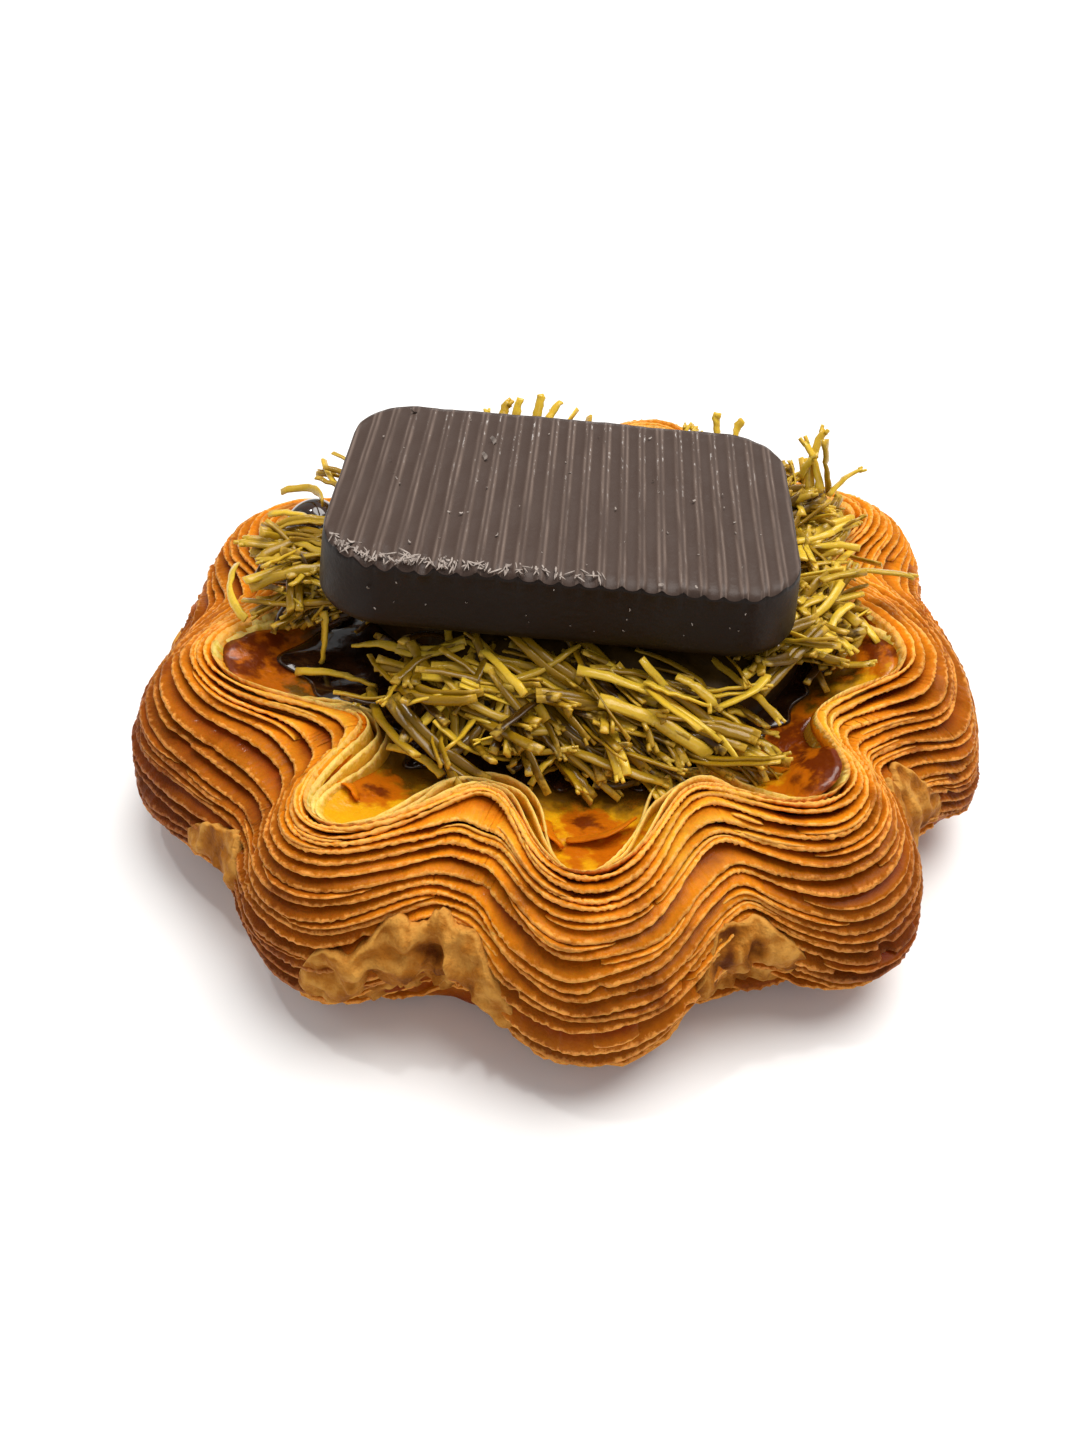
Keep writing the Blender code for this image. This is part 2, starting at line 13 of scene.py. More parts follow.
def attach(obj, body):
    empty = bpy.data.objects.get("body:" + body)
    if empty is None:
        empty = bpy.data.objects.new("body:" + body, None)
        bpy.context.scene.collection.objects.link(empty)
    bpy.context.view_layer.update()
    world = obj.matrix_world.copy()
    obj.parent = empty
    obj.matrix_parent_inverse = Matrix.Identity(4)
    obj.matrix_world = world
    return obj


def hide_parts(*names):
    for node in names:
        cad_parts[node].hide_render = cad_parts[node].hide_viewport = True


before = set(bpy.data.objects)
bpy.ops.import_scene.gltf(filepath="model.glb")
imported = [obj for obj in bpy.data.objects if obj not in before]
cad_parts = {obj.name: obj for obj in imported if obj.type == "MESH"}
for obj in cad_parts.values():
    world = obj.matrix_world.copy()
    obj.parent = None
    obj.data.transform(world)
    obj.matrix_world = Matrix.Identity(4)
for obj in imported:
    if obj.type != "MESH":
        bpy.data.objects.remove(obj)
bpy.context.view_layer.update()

MM = 0.001
TAU = 2 * math.pi

# Shell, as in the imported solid: tables go anticlockwise from the front lobe.
LOBES = 9
FRONT_LOBE_ANGLE = -88.3
LOBE_RIM_RADII = (37.6, 36.8, 35.4, 37.6, 37.8, 37.6, 37.5, 38.7, 39.5)
LOBE_SKIRT_RADII = (46.8, 47.7, 46.4, 49.6, 48.3, 48.2, 49.4, 50.1, 47.4)
LOBE_SWAYS = (-1.1, -1.6, -7.9, -4.5, 0.0, 8.0, 5.4, 2.1, 1.6)
VALLEY_RIM_RADII = (28.7, 29.2, 26.3, 28.0, 28.0, 28.0, 28.1, 27.8, 28.1)
VALLEY_SKIRT_RADII = (41.4, 41.6, 44.9, 43.5, 43.6, 43.7, 47.4, 44.8, 41.3)
VALLEY_SWAYS = (0.0, -6.4, -0.1, 0.0, 0.1, 5.0, 1.9, 7.2, 1.1)
VALLEY_SHARPNESS = (1.02, 0.97, 0.92, 0.89, 0.89, 0.89, 0.87, 1.02, 1.10)
LOBE_RIM_HEIGHT = 22.7
VALLEY_RIM_HEIGHT = 21.5
LOBE_SKIRT_HEIGHT = 6.3
VALLEY_SKIRT_HEIGHT = 10.2
PINCH = 1.3
PROFILE_FULLNESS = 1.1
FLOOR_CORNER_RADIUS = 24.6
FLOOR_CORNER_HEIGHT = 5.0
WALL_FLARE = 0.62

# Points round a sheet, round a flake under the skirt and round the shell's core.
SHEET_STEPS, UNDER_STEPS, CORE_STEPS = 1440, 600, 400
SHEET_COUNT = 16
SHEET_THICKNESS = 0.30
# How deep the gaps between the sheets run in, in mm.
GAP_DEPTH = 2.1
# Where a gap between two sheets' edges is wide: turn, gap, how much wider and its reach in turns.
WIDE_BANDS = (
    (0.0, 5, 0.4, 0.30),
    (0.5, 3, 0.7, 0.28),
    (0.5, 6, 0.7, 0.30),
    (1.05, 8, 0.9, 0.35),
    (1.1, 12, 0.8, 0.30),
    (2.0, 6, 0.5, 0.30),
    (3.0, 9, 0.5, 0.30),
    (7.0, 5, 0.6, 0.35),
    (7.1, 10, 0.8, 0.30),
    (8.0, 7, 0.7, 0.35),
    (8.5, 2, 1.1, 0.25),
    (8.55, 6, 0.6, 0.25),
    (0.5, 13, 1.3, 0.28),
    (8.45, 13, 1.7, 0.30),
)

# Bar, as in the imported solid: the centre of its top and its angles in degrees.
BAR_CENTRE = (-0.9, 1.1, 35.0)
BAR_YAW, BAR_PITCH, BAR_ROLL = -3.7, 1.2, 3.8
BAR_LENGTH, BAR_DEPTH, BAR_THICKNESS = 46.2, 28.2, 7.4
BAR_CORNER = 6.3
# How far the side stands out below the top's edge, in mm.
BAR_DRAFT = 1.0
RIDGE_PITCH = 1.93
RIDGE_DEPTH = 0.22

# The blob of sauce at the back left.
BLOB_CENTRE = (-29.7, 11.8, 22.2)
BLOB_RADII = (3.7, 3.7, 4.2)


# --- Flower shape ---------------------------------------------------------------------------


def blend(table, position):
    """A smooth way round the lobes through a table of values, or the value if there is only one."""
    table = np.broadcast_to(table, LOBES)
    low = np.floor(position).astype(int)
    part = position - low
    part = part * part * (3 - 2 * part)
    return table[low % LOBES] * (1 - part) + table[(low + 1) % LOBES] * part


def lobe_weight(turn):
    """1 in the middle of a lobe and 0 in a valley."""
    return (0.5 + 0.5 * np.cos(TAU * turn)) ** blend(VALLEY_SHARPNESS, turn - 0.5)


def flower(turn, lobes, valleys, power=1.0):
    """A value round the tart, from tables for the lobes and the valleys."""
    weight = lobe_weight(turn) ** power
    return blend(lobes, turn) * weight + blend(valleys, turn - 0.5) * (1 - weight)


def flower_angle(turn, spread):
    """The angle in plan of a turn, where a turn is 1 from lobe to lobe. spread is 1 at the skirt."""
    sway = flower(turn, LOBE_SWAYS, VALLEY_SWAYS)
    swell = PINCH * np.sin(TAU * turn) * (0.35 + 0.65 * spread)
    return np.radians(FRONT_LOBE_ANGLE + 360 / LOBES * turn + sway + swell)


def polar(radius, angle, height):
    """Points from radii, angles and heights."""
    return np.stack([radius * np.cos(angle), radius * np.sin(angle), height + 0 * radius], -1)


def rim_radius(turn):
    return flower(turn, LOBE_RIM_RADII, VALLEY_RIM_RADII)


def skirt_radius(turn):
    return flower(turn, LOBE_SKIRT_RADII, VALLEY_SKIRT_RADII)


def rim_height(turn):
    return flower(turn, LOBE_RIM_HEIGHT, VALLEY_RIM_HEIGHT)


def skirt_height(turn):
    return flower(turn, LOBE_SKIRT_HEIGHT, VALLEY_SKIRT_HEIGHT)


def outside(turn, down):
    """Points of the smooth shell outside: down runs from 0 at the rim to 1 at the skirt."""
    down = np.clip(down, 0, 1)
    out = np.sin(down * math.pi / 2) ** PROFILE_FULLNESS
    rise = np.maximum(np.cos(down * math.pi / 2), 0) ** PROFILE_FULLNESS
    radius = rim_radius(turn) * (1 - out) + skirt_radius(turn) * out
    low = skirt_height(turn)
    return polar(radius, flower_angle(turn, out), low + (rim_height(turn) - low) * rise)


def unit(vectors):
    return vectors / np.maximum(np.linalg.norm(vectors, axis=-1, keepdims=True), 1e-9)


def outside_axes(turn, down):
    """Unit vectors out of the shell and down along it."""
    step = 0.01
    along = outside(turn + step, down) - outside(turn - step, down)
    below = outside(turn, np.minimum(down + step, 1.0)) - outside(turn, np.maximum(down - step, 0.0))
    return unit(np.cross(below, along)), unit(below)


def inward(ring):
    """Level unit vectors into the cavity from a ring of points round it."""
    along = np.roll(ring, -1, 0) - np.roll(ring, 1, 0)
    return unit(np.stack([-along[:, 1], along[:, 0], 0 * along[:, 0]], -1))


def wall(turn, level, inset=0.0):
    """Points of the cavity's wall: level runs from 0 at the floor corner to 1 at the rim."""
    share = np.asarray(level) ** WALL_FLARE
    height = FLOOR_CORNER_HEIGHT + (rim_height(turn) - FLOOR_CORNER_HEIGHT) * level
    radius = FLOOR_CORNER_RADIUS * (1 - share) + rim_radius(turn) * share
    points = polar(radius, flower_angle(turn, 0.0), height)
    return points + inward(points) * inset


def turns(count):
    """Turns spread evenly round the whole tart."""
    return np.linspace(0, LOBES, count, endpoint=False)


# --- Seeded unevenness ----------------------------------------------------------------------


def ripple(turn, seed, low, high, waves=14):
    """A sum of whole waves round the tart, roughly between -1 and 1."""
    draw = np.random.default_rng(seed)
    total = np.zeros_like(turn)
    for _ in range(waves):
        cycles = draw.integers(low, high + 1)
        total += np.cos(TAU * cycles * turn / LOBES + draw.uniform(0, TAU)) * draw.uniform(0.5, 1.2)
    return total / math.sqrt(waves) * 1.1


# Large factors that scatter a cell's place and a seed over all numbers.
HASH_FACTORS = (73856093, 19349663, 83492791, 2654435761)
HASH_MIXER = 1274126177


def lattice(ix, iy, iz, seed):
    """A random value between -1 and 1 for each cell."""
    mixed = 0
    for part, factor in zip((ix, iy, iz, seed), HASH_FACTORS):
        mixed = mixed ^ (part * factor)
    mixed = (mixed ^ (mixed >> 13)) * HASH_MIXER
    return ((mixed ^ (mixed >> 16)) & 0xFFFF) / 32767.5 - 1


def bumps(points, size, seed=0):
    """Smooth noise between -1 and 1 with features of the given size in mm."""
    scaled = points / size
    cell = np.floor(scaled).astype(np.int64)
    part = scaled - cell
    part = part * part * (3 - 2 * part)
    total = 0
    for dx in (0, 1):
        for dy in (0, 1):
            for dz in (0, 1):
                weight = 1
                for axis, corner in enumerate((dx, dy, dz)):
                    weight = weight * (part[..., axis] if corner else 1 - part[..., axis])
                value = lattice(cell[..., 0] + dx, cell[..., 1] + dy, cell[..., 2] + dz, seed)
                total = total + weight * value
    return total


# --- Meshes ---------------------------------------------------------------------------------


class Builder:
    """Collects grids of points, in mm, into one mesh with named values on its points."""

    def __init__(self, name, values=()):
        self.name = name
        self.points, self.quads, self.fans = [], [], []
        self.values = {value: [] for value in values}
        self.count = 0

    def grid(self, points, wrap_rows=False, wrap_columns=True, caps=(), **values):
        """Adds rows and columns of points as a sheet or a tube; the rows in caps are closed by fans."""
        rows, columns = points.shape[:2]
        index = np.arange(rows * columns).reshape(rows, columns) + self.count
        if wrap_rows:
            index = np.vstack([index, index[:1]])
        if wrap_columns:
            index = np.hstack([index, index[:, :1]])
        quads = np.stack([index[:-1, :-1], index[:-1, 1:], index[1:, 1:], index[1:, :-1]], -1)
        self.quads.append(quads.reshape(-1, 4))
        self.points.append(points.reshape(-1, 3))
        given = {value: np.broadcast_to(values.get(value, 0.0), (rows, columns)) for value in self.values}
        for value, store in self.values.items():
            store.append(given[value].reshape(-1))
        self.count += rows * columns
        for row in caps:
            ring = index[row, :columns]
            self.points.append(points[row].mean(0)[None])
            for value, store in self.values.items():
                store.append(given[value][row].mean()[None])
            centre = np.full(columns, self.count)
            self.fans.append(np.stack([centre, ring, np.roll(ring, -1)], -1))
            self.count += 1

    def build(self, material, node=None):
        """Makes the mesh's piece of the body, which replaces a CAD node if one is given."""
        mesh = bpy.data.meshes.new(self.name)
        faces = np.concatenate(self.quads).tolist()
        if self.fans:
            faces += np.concatenate(self.fans).tolist()
        mesh.from_pydata((np.concatenate(self.points) * MM).tolist(), [], faces)
        for value, store in self.values.items():
            layer = mesh.attributes.new(value, "FLOAT", "POINT")
            layer.data.foreach_set("value", np.concatenate(store).astype(np.float32))
        bm = bmesh.new()
        bm.from_mesh(mesh)
        bmesh.ops.recalc_face_normals(bm, faces=bm.faces)
        bm.to_mesh(mesh)
        bm.free()
        mesh.polygons.foreach_set("use_smooth", [True] * len(mesh.polygons))
        mesh.materials.append(material)
        piece = bpy.data.objects.new(self.name, mesh)
        bpy.context.scene.collection.objects.link(piece)
        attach(piece, "root")
        if node:
            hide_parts(node)
        return piece


# --- Materials ------------------------------------------------------------------------------


class Shader:
    """A Principled material and short ways to add nodes to it."""

    def __init__(self, name, **constants):
        self.material = bpy.data.materials.new(name)
        self.material.use_nodes = True
        self.tree = self.material.node_tree
        self.bsdf = self.tree.nodes["Principled BSDF"]
        for socket, value in constants.items():
            self.bsdf.inputs[socket.replace("_", " ")].default_value = value
        self.place = self.tree.nodes.new("ShaderNodeTexCoord").outputs["Object"]

    def node(self, kind, inputs=(), **settings):
        """Adds a node. Each of its inputs is linked to a socket or set to a value."""
        node = self.tree.nodes.new(kind)
        for key, value in settings.items():
            setattr(node, key, value)
        for key, value in dict(inputs).items():
            if isinstance(value, bpy.types.NodeSocket):
                self.tree.links.new(value, node.inputs[key])
            else:
                node.inputs[key].default_value = value
        return node

    def value(self, name):
        """Reads a named value from the mesh's points."""
        return self.node("ShaderNodeAttribute", attribute_name=name).outputs["Fac"]

    def noise(self, size, detail=3.0, roughness=0.55, stretch=None):
        """Noise from 0 to 1 with features of the given size in mm."""
        place = self.place
        if stretch:
            place = self.node("ShaderNodeMapping", {"Vector": place, "Scale": stretch}).outputs[0]
        inputs = {"Vector": place, "Scale": 1 / (size * MM), "Detail": detail, "Roughness": roughness}
        return self.node("ShaderNodeTexNoise", inputs).outputs["Fac"]

    def maths(self, operation, first, second):
        return self.node("ShaderNodeMath", {0: first, 1: second}, operation=operation).outputs[0]

    def uneven(self, value, noise, low, high):
        """The value with noise added to it, which runs from about low to high."""
        return self.maths("ADD", value, self.span(noise, 0.3, 0.7, low, high))

    def span(self, value, low, high, to_low=0.0, to_high=1.0):
        """Takes low to high smoothly to to_low and to_high, and stays there beyond them."""
        inputs = {"Value": value, "From Min": low, "From Max": high, "To Min": to_low, "To Max": to_high}
        return self.node("ShaderNodeMapRange", inputs, interpolation_type="SMOOTHSTEP").outputs[0]

    def mix(self, share, first, second, kind="MIX"):
        node = self.node("ShaderNodeMix", data_type="RGBA", blend_type=kind)
        for socket, value in ((0, share), (6, first), (7, second)):
            if isinstance(value, bpy.types.NodeSocket):
                self.tree.links.new(value, node.inputs[socket])
            else:
                node.inputs[socket].default_value = value if socket == 0 else (*value, 1.0)
        return node.outputs[2]

    def steps(self, value, colour, *changes):
        """A colour that turns into others over stretches of a value: low, high and colour of each."""
        for low, high, other in changes:
            colour = self.mix(self.span(value, low, high), colour, other)
        return colour

    def colour(self, socket):
        self.tree.links.new(socket, self.bsdf.inputs["Base Color"])

    def rough(self, socket):
        self.tree.links.new(socket, self.bsdf.inputs["Roughness"])

    def bump(self, height, distance, strength=1.0):
        inputs = {"Height": height, "Distance": distance * MM, "Strength": strength}
        normal = self.node("ShaderNodeBump", inputs).outputs[0]
        self.tree.links.new(normal, self.bsdf.inputs["Normal"])


def soft(weight, scale, radius):
    """Constants for light that sinks into a food: scale in metres, radius by colour."""
    return {"Subsurface_Weight": weight, "Subsurface_Scale": scale, "Subsurface_Radius": radius}


def pastry_material():
    """Pale baked edges and amber faces, with painted shade that darkens each sheet towards its root down in
    the gaps. edge is 1 at a sheet's edge, outer grows with baking and at the listed darker places, and tone
    differs along and between the sheets."""
    coat = {"Coat_Weight": 0.05, "Coat_Roughness": 0.12, "Specular_IOR_Level": 0.03}
    shader = Shader("flaky_pastry", **soft(0.2, 0.0008, (1.0, 0.3, 0.05)), **coat)
    edge, outer, tone = shader.value("edge"), shader.value("outer"), shader.value("tone")
    blotch = shader.noise(6.0, 4.0)
    grain = shader.noise(0.7, 4.0, 0.65)
    bake = shader.uneven(outer, blotch, -0.16, 0.16)
    face = shader.steps(
        bake,
        (0.74, 0.43, 0.035),
        (-0.35, -0.05, (0.80, 0.38, 0.026)),
        (-0.05, 0.25, (0.76, 0.235, 0.007)),
        (0.2, 0.95, (0.38, 0.100, 0.004)),
        (0.95, 1.8, (0.17, 0.035, 0.003)),
    )
    # Painted shade: the colour down in the gaps, towards each sheet's root, where edge is low.
    gap_shade = shader.steps(bake, (0.60, 0.16, 0.003), (-0.1, 0.5, (0.19, 0.024, 0.001)))
    colour = shader.mix(shader.span(edge, 0.30, 0.96), gap_shade, face)
    toasted = shader.steps(
        bake,
        (0.84, 0.56, 0.15),
        (-0.35, -0.05, (0.84, 0.42, 0.09)),
        (0.0, 0.8, (0.76, 0.31, 0.06)),
        (0.8, 1.8, (0.36, 0.12, 0.03)),
    )
    colour = shader.mix(shader.span(shader.uneven(edge, grain, -0.06, 0.05), 0.88, 0.99), colour, toasted)
    patch = shader.maths("MULTIPLY", shader.span(blotch, 0.54, 0.74), shader.span(bake, 0.1, 0.8, 0.1, 0.8))
    colour = shader.mix(patch, colour, (0.20, 0.042, 0.005))
    lift = shader.span(tone, 0.0, 1.0, 0.82, 1.14)
    lift = shader.maths("ADD", lift, shader.span(grain, 0.2, 0.8, -0.12, 0.12))
    grey = shader.node("ShaderNodeCombineColor", {0: lift, 1: lift, 2: lift}).outputs[0]
    shader.colour(shader.mix(1.0, colour, grey, "MULTIPLY"))
    shader.rough(shader.span(blotch, 0.3, 0.7, 0.34, 0.52))
    shader.bump(shader.maths("ADD", grain, shader.noise(0.25, 2.0)), 0.10, 0.8)
    return shader.material


def crust_material():
    """Dry, crumpled golden crust, painted darker in its hollows as shade; edge is low in its hollows."""
    shader = Shader("baked_crust", Roughness=0.55, Specular_IOR_Level=0.05)
    blotch = shader.noise(2.2, 5.0, 0.65)
    height = shader.uneven(shader.value("edge"), blotch, -0.16, 0.16)
    # The darkest colour, where edge is low in the hollows, is painted shade.
    golden, pale = (0.2, 0.7, (0.38, 0.128, 0.012)), (0.62, 1.04, (0.62, 0.29, 0.055))
    shader.colour(shader.steps(height, (0.12, 0.028, 0.003), golden, pale))
    shader.bump(shader.maths("ADD", blotch, shader.noise(0.5, 4.0)), 0.30, 0.9)
    return shader.material


def custard_material():
    """Yellow custard: spot is 1 where it is scorched, soak 1 where the sauce and syrup have run in."""
    coat = {"Coat_Weight": 0.22, "Coat_Roughness": 0.08, "Specular_IOR_Level": 0.3}
    shader = Shader("custard", **soft(0.25, 0.0015, (1.0, 0.5, 0.08)), **coat)
    spot = shader.uneven(shader.value("spot"), shader.noise(2.2, 4.0), -0.22, 0.22)
    soak = shader.uneven(shader.value("soak"), shader.noise(3.0, 3.0), -0.25, 0.25)
    yellow = shader.mix(shader.noise(4.0), (0.80, 0.42, 0.005), (0.58, 0.23, 0.003))
    colour = shader.steps(soak, yellow, (0.25, 0.9, (0.13, 0.055, 0.002)))
    amber, burnt = (0.25, 0.6, (0.48, 0.115, 0.002)), (0.68, 1.0, (0.14, 0.022, 0.002))
    shader.colour(shader.steps(spot, colour, amber, burnt))
    shader.rough(shader.span(spot, 0.0, 1.0, 0.30, 0.16))
    shader.bump(shader.noise(0.9, 4.0), 0.2, 0.8)
    return shader.material


def sauce_material():
    """Wet dark chocolate, a little browner in places."""
    shader = Shader("chocolate_sauce", Roughness=0.10, Coat_Weight=0.5, Coat_Roughness=0.04)
    brown = shader.span(shader.noise(3.0), 0.35, 0.7)
    shader.colour(shader.mix(brown, (0.010, 0.004, 0.002), (0.040, 0.014, 0.005)))
    shader.bump(shader.noise(1.6, 2.0), 0.10, 0.5)
    return shader.material


def shred_material():
    """Syrupy olive-yellow shreds: tone differs from shred to shred and is lower deep in the heap as painted
    shade; tip is 1 at their ends, which are painted paler as highlights.
    """
    coat = {"Coat_Weight": 0.3, "Coat_Roughness": 0.11, "Specular_IOR_Level": 0.2}
    shader = Shader("shreds", **soft(0.2, 0.0008, (1.0, 0.7, 0.15)), **coat)
    tone, tip = shader.value("tone"), shader.value("tip")
    streak = shader.noise(0.8, 3.0)
    olive, yellow = (0.0, 0.5, (0.29, 0.158, 0.004)), (0.5, 1.0, (0.78, 0.51, 0.038))
    colour = shader.steps(tone, (0.050, 0.020, 0.001), olive, yellow)
    # The paler ends are painted highlights.
    ends = shader.uneven(tip, streak, -0.25, 0.25)
    colour = shader.mix(shader.span(ends, 0.45, 1.1, 0.0, 0.7), colour, (0.74, 0.46, 0.05))
    colour = shader.mix(shader.span(streak, 0.55, 0.8, 0.0, 0.4), colour, (0.13, 0.06, 0.004))
    shader.colour(colour)
    shader.rough(shader.span(streak, 0.3, 0.7, 0.20, 0.36))
    shader.bump(streak, 0.10, 0.6)
    return shader.material


def bar_material():
    """Moulded dark chocolate with darker smooth sides; the ridged top's paler colour is partly painted
    sheen. top is 1 on the ridged face, crest 1 along its ridges, where pale lines are painted highlights,
    and a third value grows where pale specks are painted as glints and dust."""
    shader = Shader("dark_chocolate", Specular_IOR_Level=0.18)
    top, crest = shader.value("top"), shader.value("crest")
    cloud = shader.noise(6.0, 4.0)
    side = shader.mix(cloud, (0.0064, 0.0026, 0.0012), (0.0115, 0.0052, 0.0028))
    streak = shader.noise(0.7, 2.0, 0.6, stretch=(1.0, 0.05, 1.0))
    # Pale lines along the arrises are painted highlights; the top's colour, paler than the sides, is partly
    # painted sheen.
    lines = shader.maths("MULTIPLY", crest, shader.span(streak, 0.35, 0.65, 0.35, 1.0))
    face = shader.mix(lines, (0.060, 0.037, 0.028), (0.200, 0.145, 0.118))
    face = shader.mix(shader.span(cloud, 0.4, 0.75, 0.0, 0.45), face, (0.074, 0.049, 0.039))
    colour = shader.mix(top, side, face)
    # Pale specks along the crests are painted glints and dust.
    specks = shader.noise(0.35, 3.0, 0.7, stretch=(1.0, 0.25, 1.0))
    patch = shader.maths("MULTIPLY", shader.value("frost"), shader.span(specks, 0.56, 0.66))
    patch = shader.maths("MULTIPLY", patch, shader.span(crest, 0.45, 0.9))
    colour = shader.mix(patch, colour, (0.55, 0.50, 0.47))
    shader.colour(colour)
    shader.rough(shader.span(cloud, 0.3, 0.7, 0.36, 0.50))
    shader.bump(shader.maths("ADD", shader.noise(0.5, 4.0), shader.noise(2.5, 3.0)), 0.07, 0.6)
    return shader.material


def chip_material():
    """Pale broken chocolate."""
    shader = Shader("chocolate_shavings", Roughness=0.5)
    shader.colour(shader.mix(shader.noise(0.6), (0.16, 0.115, 0.095), (0.56, 0.48, 0.42)))
    shader.bump(shader.noise(0.3), 0.03, 0.5)
    return shader.material


# --- Pastry shell ---------------------------------------------------------------------------

# Values that the pastry's material reads on every point.
PASTRY_LOOKS = ("edge", "outer", "tone")


def sheet_places():
    """How far down the outside each sheet's edge lies, round the tart: uneven but never crossing."""
    turn = turns(SHEET_STEPS)
    bands = []
    for index in range(SHEET_COUNT - 1):
        uneven = 0.38 * ripple(turn, 60 + index, 2, 12) + 0.07 * ripple(turn, 80 + index, 14, 40)
        for at, band, extra, reach in WIDE_BANDS:
            away = (turn - at + LOBES / 2) % LOBES - LOBES / 2
            if band == index:
                uneven = uneven + extra * np.exp(-((away / reach) ** 2))
        bands.append(np.exp(uneven))
    places = np.cumsum(bands, 0)
    return np.vstack([np.zeros((1, SHEET_STEPS)), places / places[-1]])


# Where the rows of points lie on the two faces of a sheet and of a flake under the skirt, as shares
# of the way from root to edge.
LEAF_SHARES = ((0.0, 0.3, 0.58, 0.8, 0.94), (0.94, 0.0))
UNDER_SHARES = ((0.0, 0.5, 0.9), (0.9, 0.5, 0.0))
# How thick a leaf is next to its edge, as a share of its thickness.
EDGE_SWELL = 1.1


def leaf_rows(root, edge, thin, bow, thick, swell=1.0, shares=LEAF_SHARES):
    """Rows of points over both faces of a thin sheet, and how near each row is to its edge. thin is
    the unit way across it, bow its bend and swell how much thicker it is next to its edge."""
    rows, marks = [], []
    for side, face in ((1, shares[0]), (-1, shares[1])):
        for share in face:
            rise = bow * math.sin(math.pi * share) + side * thick / 2 * (swell if share > 0.9 else 1.0)
            rows.append(root * (1 - share) + edge * share + thin * np.reshape(rise, (-1, 1)))
            marks.append(share)
        if side == 1:
            rows.append(edge)
            marks.append(1.0)
    return np.array(rows), np.array(marks)[:, None]


def leaf(builder, root, edge, thin, bow, thick, swell, **values):
    """A closed thin sheet all round the tart, between a ring of roots and a ring of edges."""
    rows, marks = leaf_rows(root, edge, thin, bow, thick, swell)
    builder.grid(rows, wrap_rows=True, edge=marks, **values)


# Places where the outside is darker towards the bottom: turn, reach in turns and strength.
DARKER_LOW_PLACES = ((6.9, 0.9, 1.35), (7.9, 0.4, 0.6), (1.15, 0.4, 1.1), (2.1, 0.5, 0.8))


def baked(turn, down):
    """How dark the pastry is baked: 0 at a pale inner ridge, 1 on the lower outside of a lobe. At the
    listed places it is darker still towards the bottom.
    """
    dark = down * 0.85 + 0.36 * (lobe_weight(turn) - 0.5) + 0.07 * np.cos(turn * TAU / 3 + 7 * down)
    for at, reach, strength in DARKER_LOW_PLACES:
        dark = dark + strength * down * np.exp(-(((turn - at) / reach) ** 2))
    return dark


def edge_lift(turn, seed, index):
    """How far a sheet's edge stands out of the smooth outside: waves, fine teeth and broken bits."""
    lift = 0.12 * ripple(turn, seed, 5, 30) + 0.04 * ripple(turn, seed + 1, 40, 130)
    teeth = np.clip(0.7 + 0.6 * ripple(turn, seed + 2, 8, 30), 0.15, 1.4)
    lift += teeth * 0.055 * ripple(turn, seed + 3, 180, 500, 40)
    broken = np.clip(ripple(turn, seed + 4, 12, 80) - 1.2, 0, 0.6)
    return lift - broken * (0.5 + 0.06 * index)


def grit(turn, seed):
    """How uneven a sheet's edge is in its thickness, round the tart."""
    fine = 0.34 * ripple(turn, seed, 150, 520, 40)
    return np.clip(fine + 0.2 * ripple(turn, seed + 1, 20, 60), -0.5, 0.9)


def sheet(builder, index, places):
    """One sheet: its root is tucked under the edge of the sheet above it."""
    turn = turns(SHEET_STEPS)
    seed = 100 + 20 * index
    at, above = places[index], places[index - 1]
    normal, down = outside_axes(turn, at)
    upper_normal, _ = outside_axes(turn, above)
    weight = lobe_weight(turn)
    depth = GAP_DEPTH * (0.55 + 0.45 * weight**0.6) * (1 + 0.22 * ripple(turn, seed + 5, 3, 20))
    depth = depth * (0.75 + 0.35 * at)
    edge = outside(turn, at) + normal * edge_lift(turn, seed, index)[:, None]
    jagged = 0.025 * ripple(turn, seed + 6, 60, 220) + 0.03 * ripple(turn, seed + 11, 220, 500, 30)
    edge += down * jagged[:, None]
    root = outside(turn, above) - upper_normal * depth[:, None]
    root += (root - edge) * 0.35
    along = np.roll(edge, -1, 0) - np.roll(edge, 1, 0)
    thin = unit(np.cross(unit(edge - root), unit(along)))
    bow = 0.12 + 0.13 * ripple(turn, seed + 7, 4, 24) + 0.03 * ripple(turn, seed + 8, 30, 90)
    wide = np.clip((at - above) * SHEET_COUNT - 1.5, 0, 3) * (at > 0.5)
    bow += wide * (0.22 * ripple(turn, seed + 12, 30, 90) + 0.10 * ripple(turn, seed + 13, 90, 260))
    thick = SHEET_THICKNESS * (1 + 0.25 * ripple(turn, seed + 9, 10, 60))
    tone = 0.5 + 0.3 * math.sin(index * 2.4) + 0.2 * ripple(turn, seed + 10, 5, 40)
    swell = EDGE_SWELL + grit(turn, seed + 14)
    leaf(builder, root, edge, thin, bow, thick, swell, outer=baked(turn, at), tone=tone)


def rim_sheet(builder):
    """The innermost sheet, which is also the cavity's wall."""
    turn = turns(SHEET_STEPS)
    root = wall(turn, 0.35, 0.1)
    edge = wall(turn, 1.0, 0.0) + np.array((0, 0, 1.0)) * edge_lift(turn, 90, 0)[:, None]
    bow = 0.35 * (1 + 0.2 * ripple(turn, 91, 3, 20))
    looks = {"outer": baked(turn, 0 * turn), "tone": 0.5 + 0.25 * ripple(turn, 92, 5, 40)}
    away = -inward(wall(turn, 1.0))
    leaf(builder, root, edge, away, bow, SHEET_THICKNESS, EDGE_SWELL + grit(turn, 95), **looks)


# How far each inner leaf stands in from the rim and how high it reaches beside the ridges, in mm.
INNER_LEAVES = ((0.9, 0.5), (2.1, 1.3), (3.4, 2.1))
# How far the inner leaves fan out at each valley, and the height that they rise from.
LEAF_SPREADS = (1.0, 0.05, 0.5, 0.6, 0.6, 0.6, 0.25, 0.8, 1.0)
LEAF_ROOT_HEIGHT = 10.5


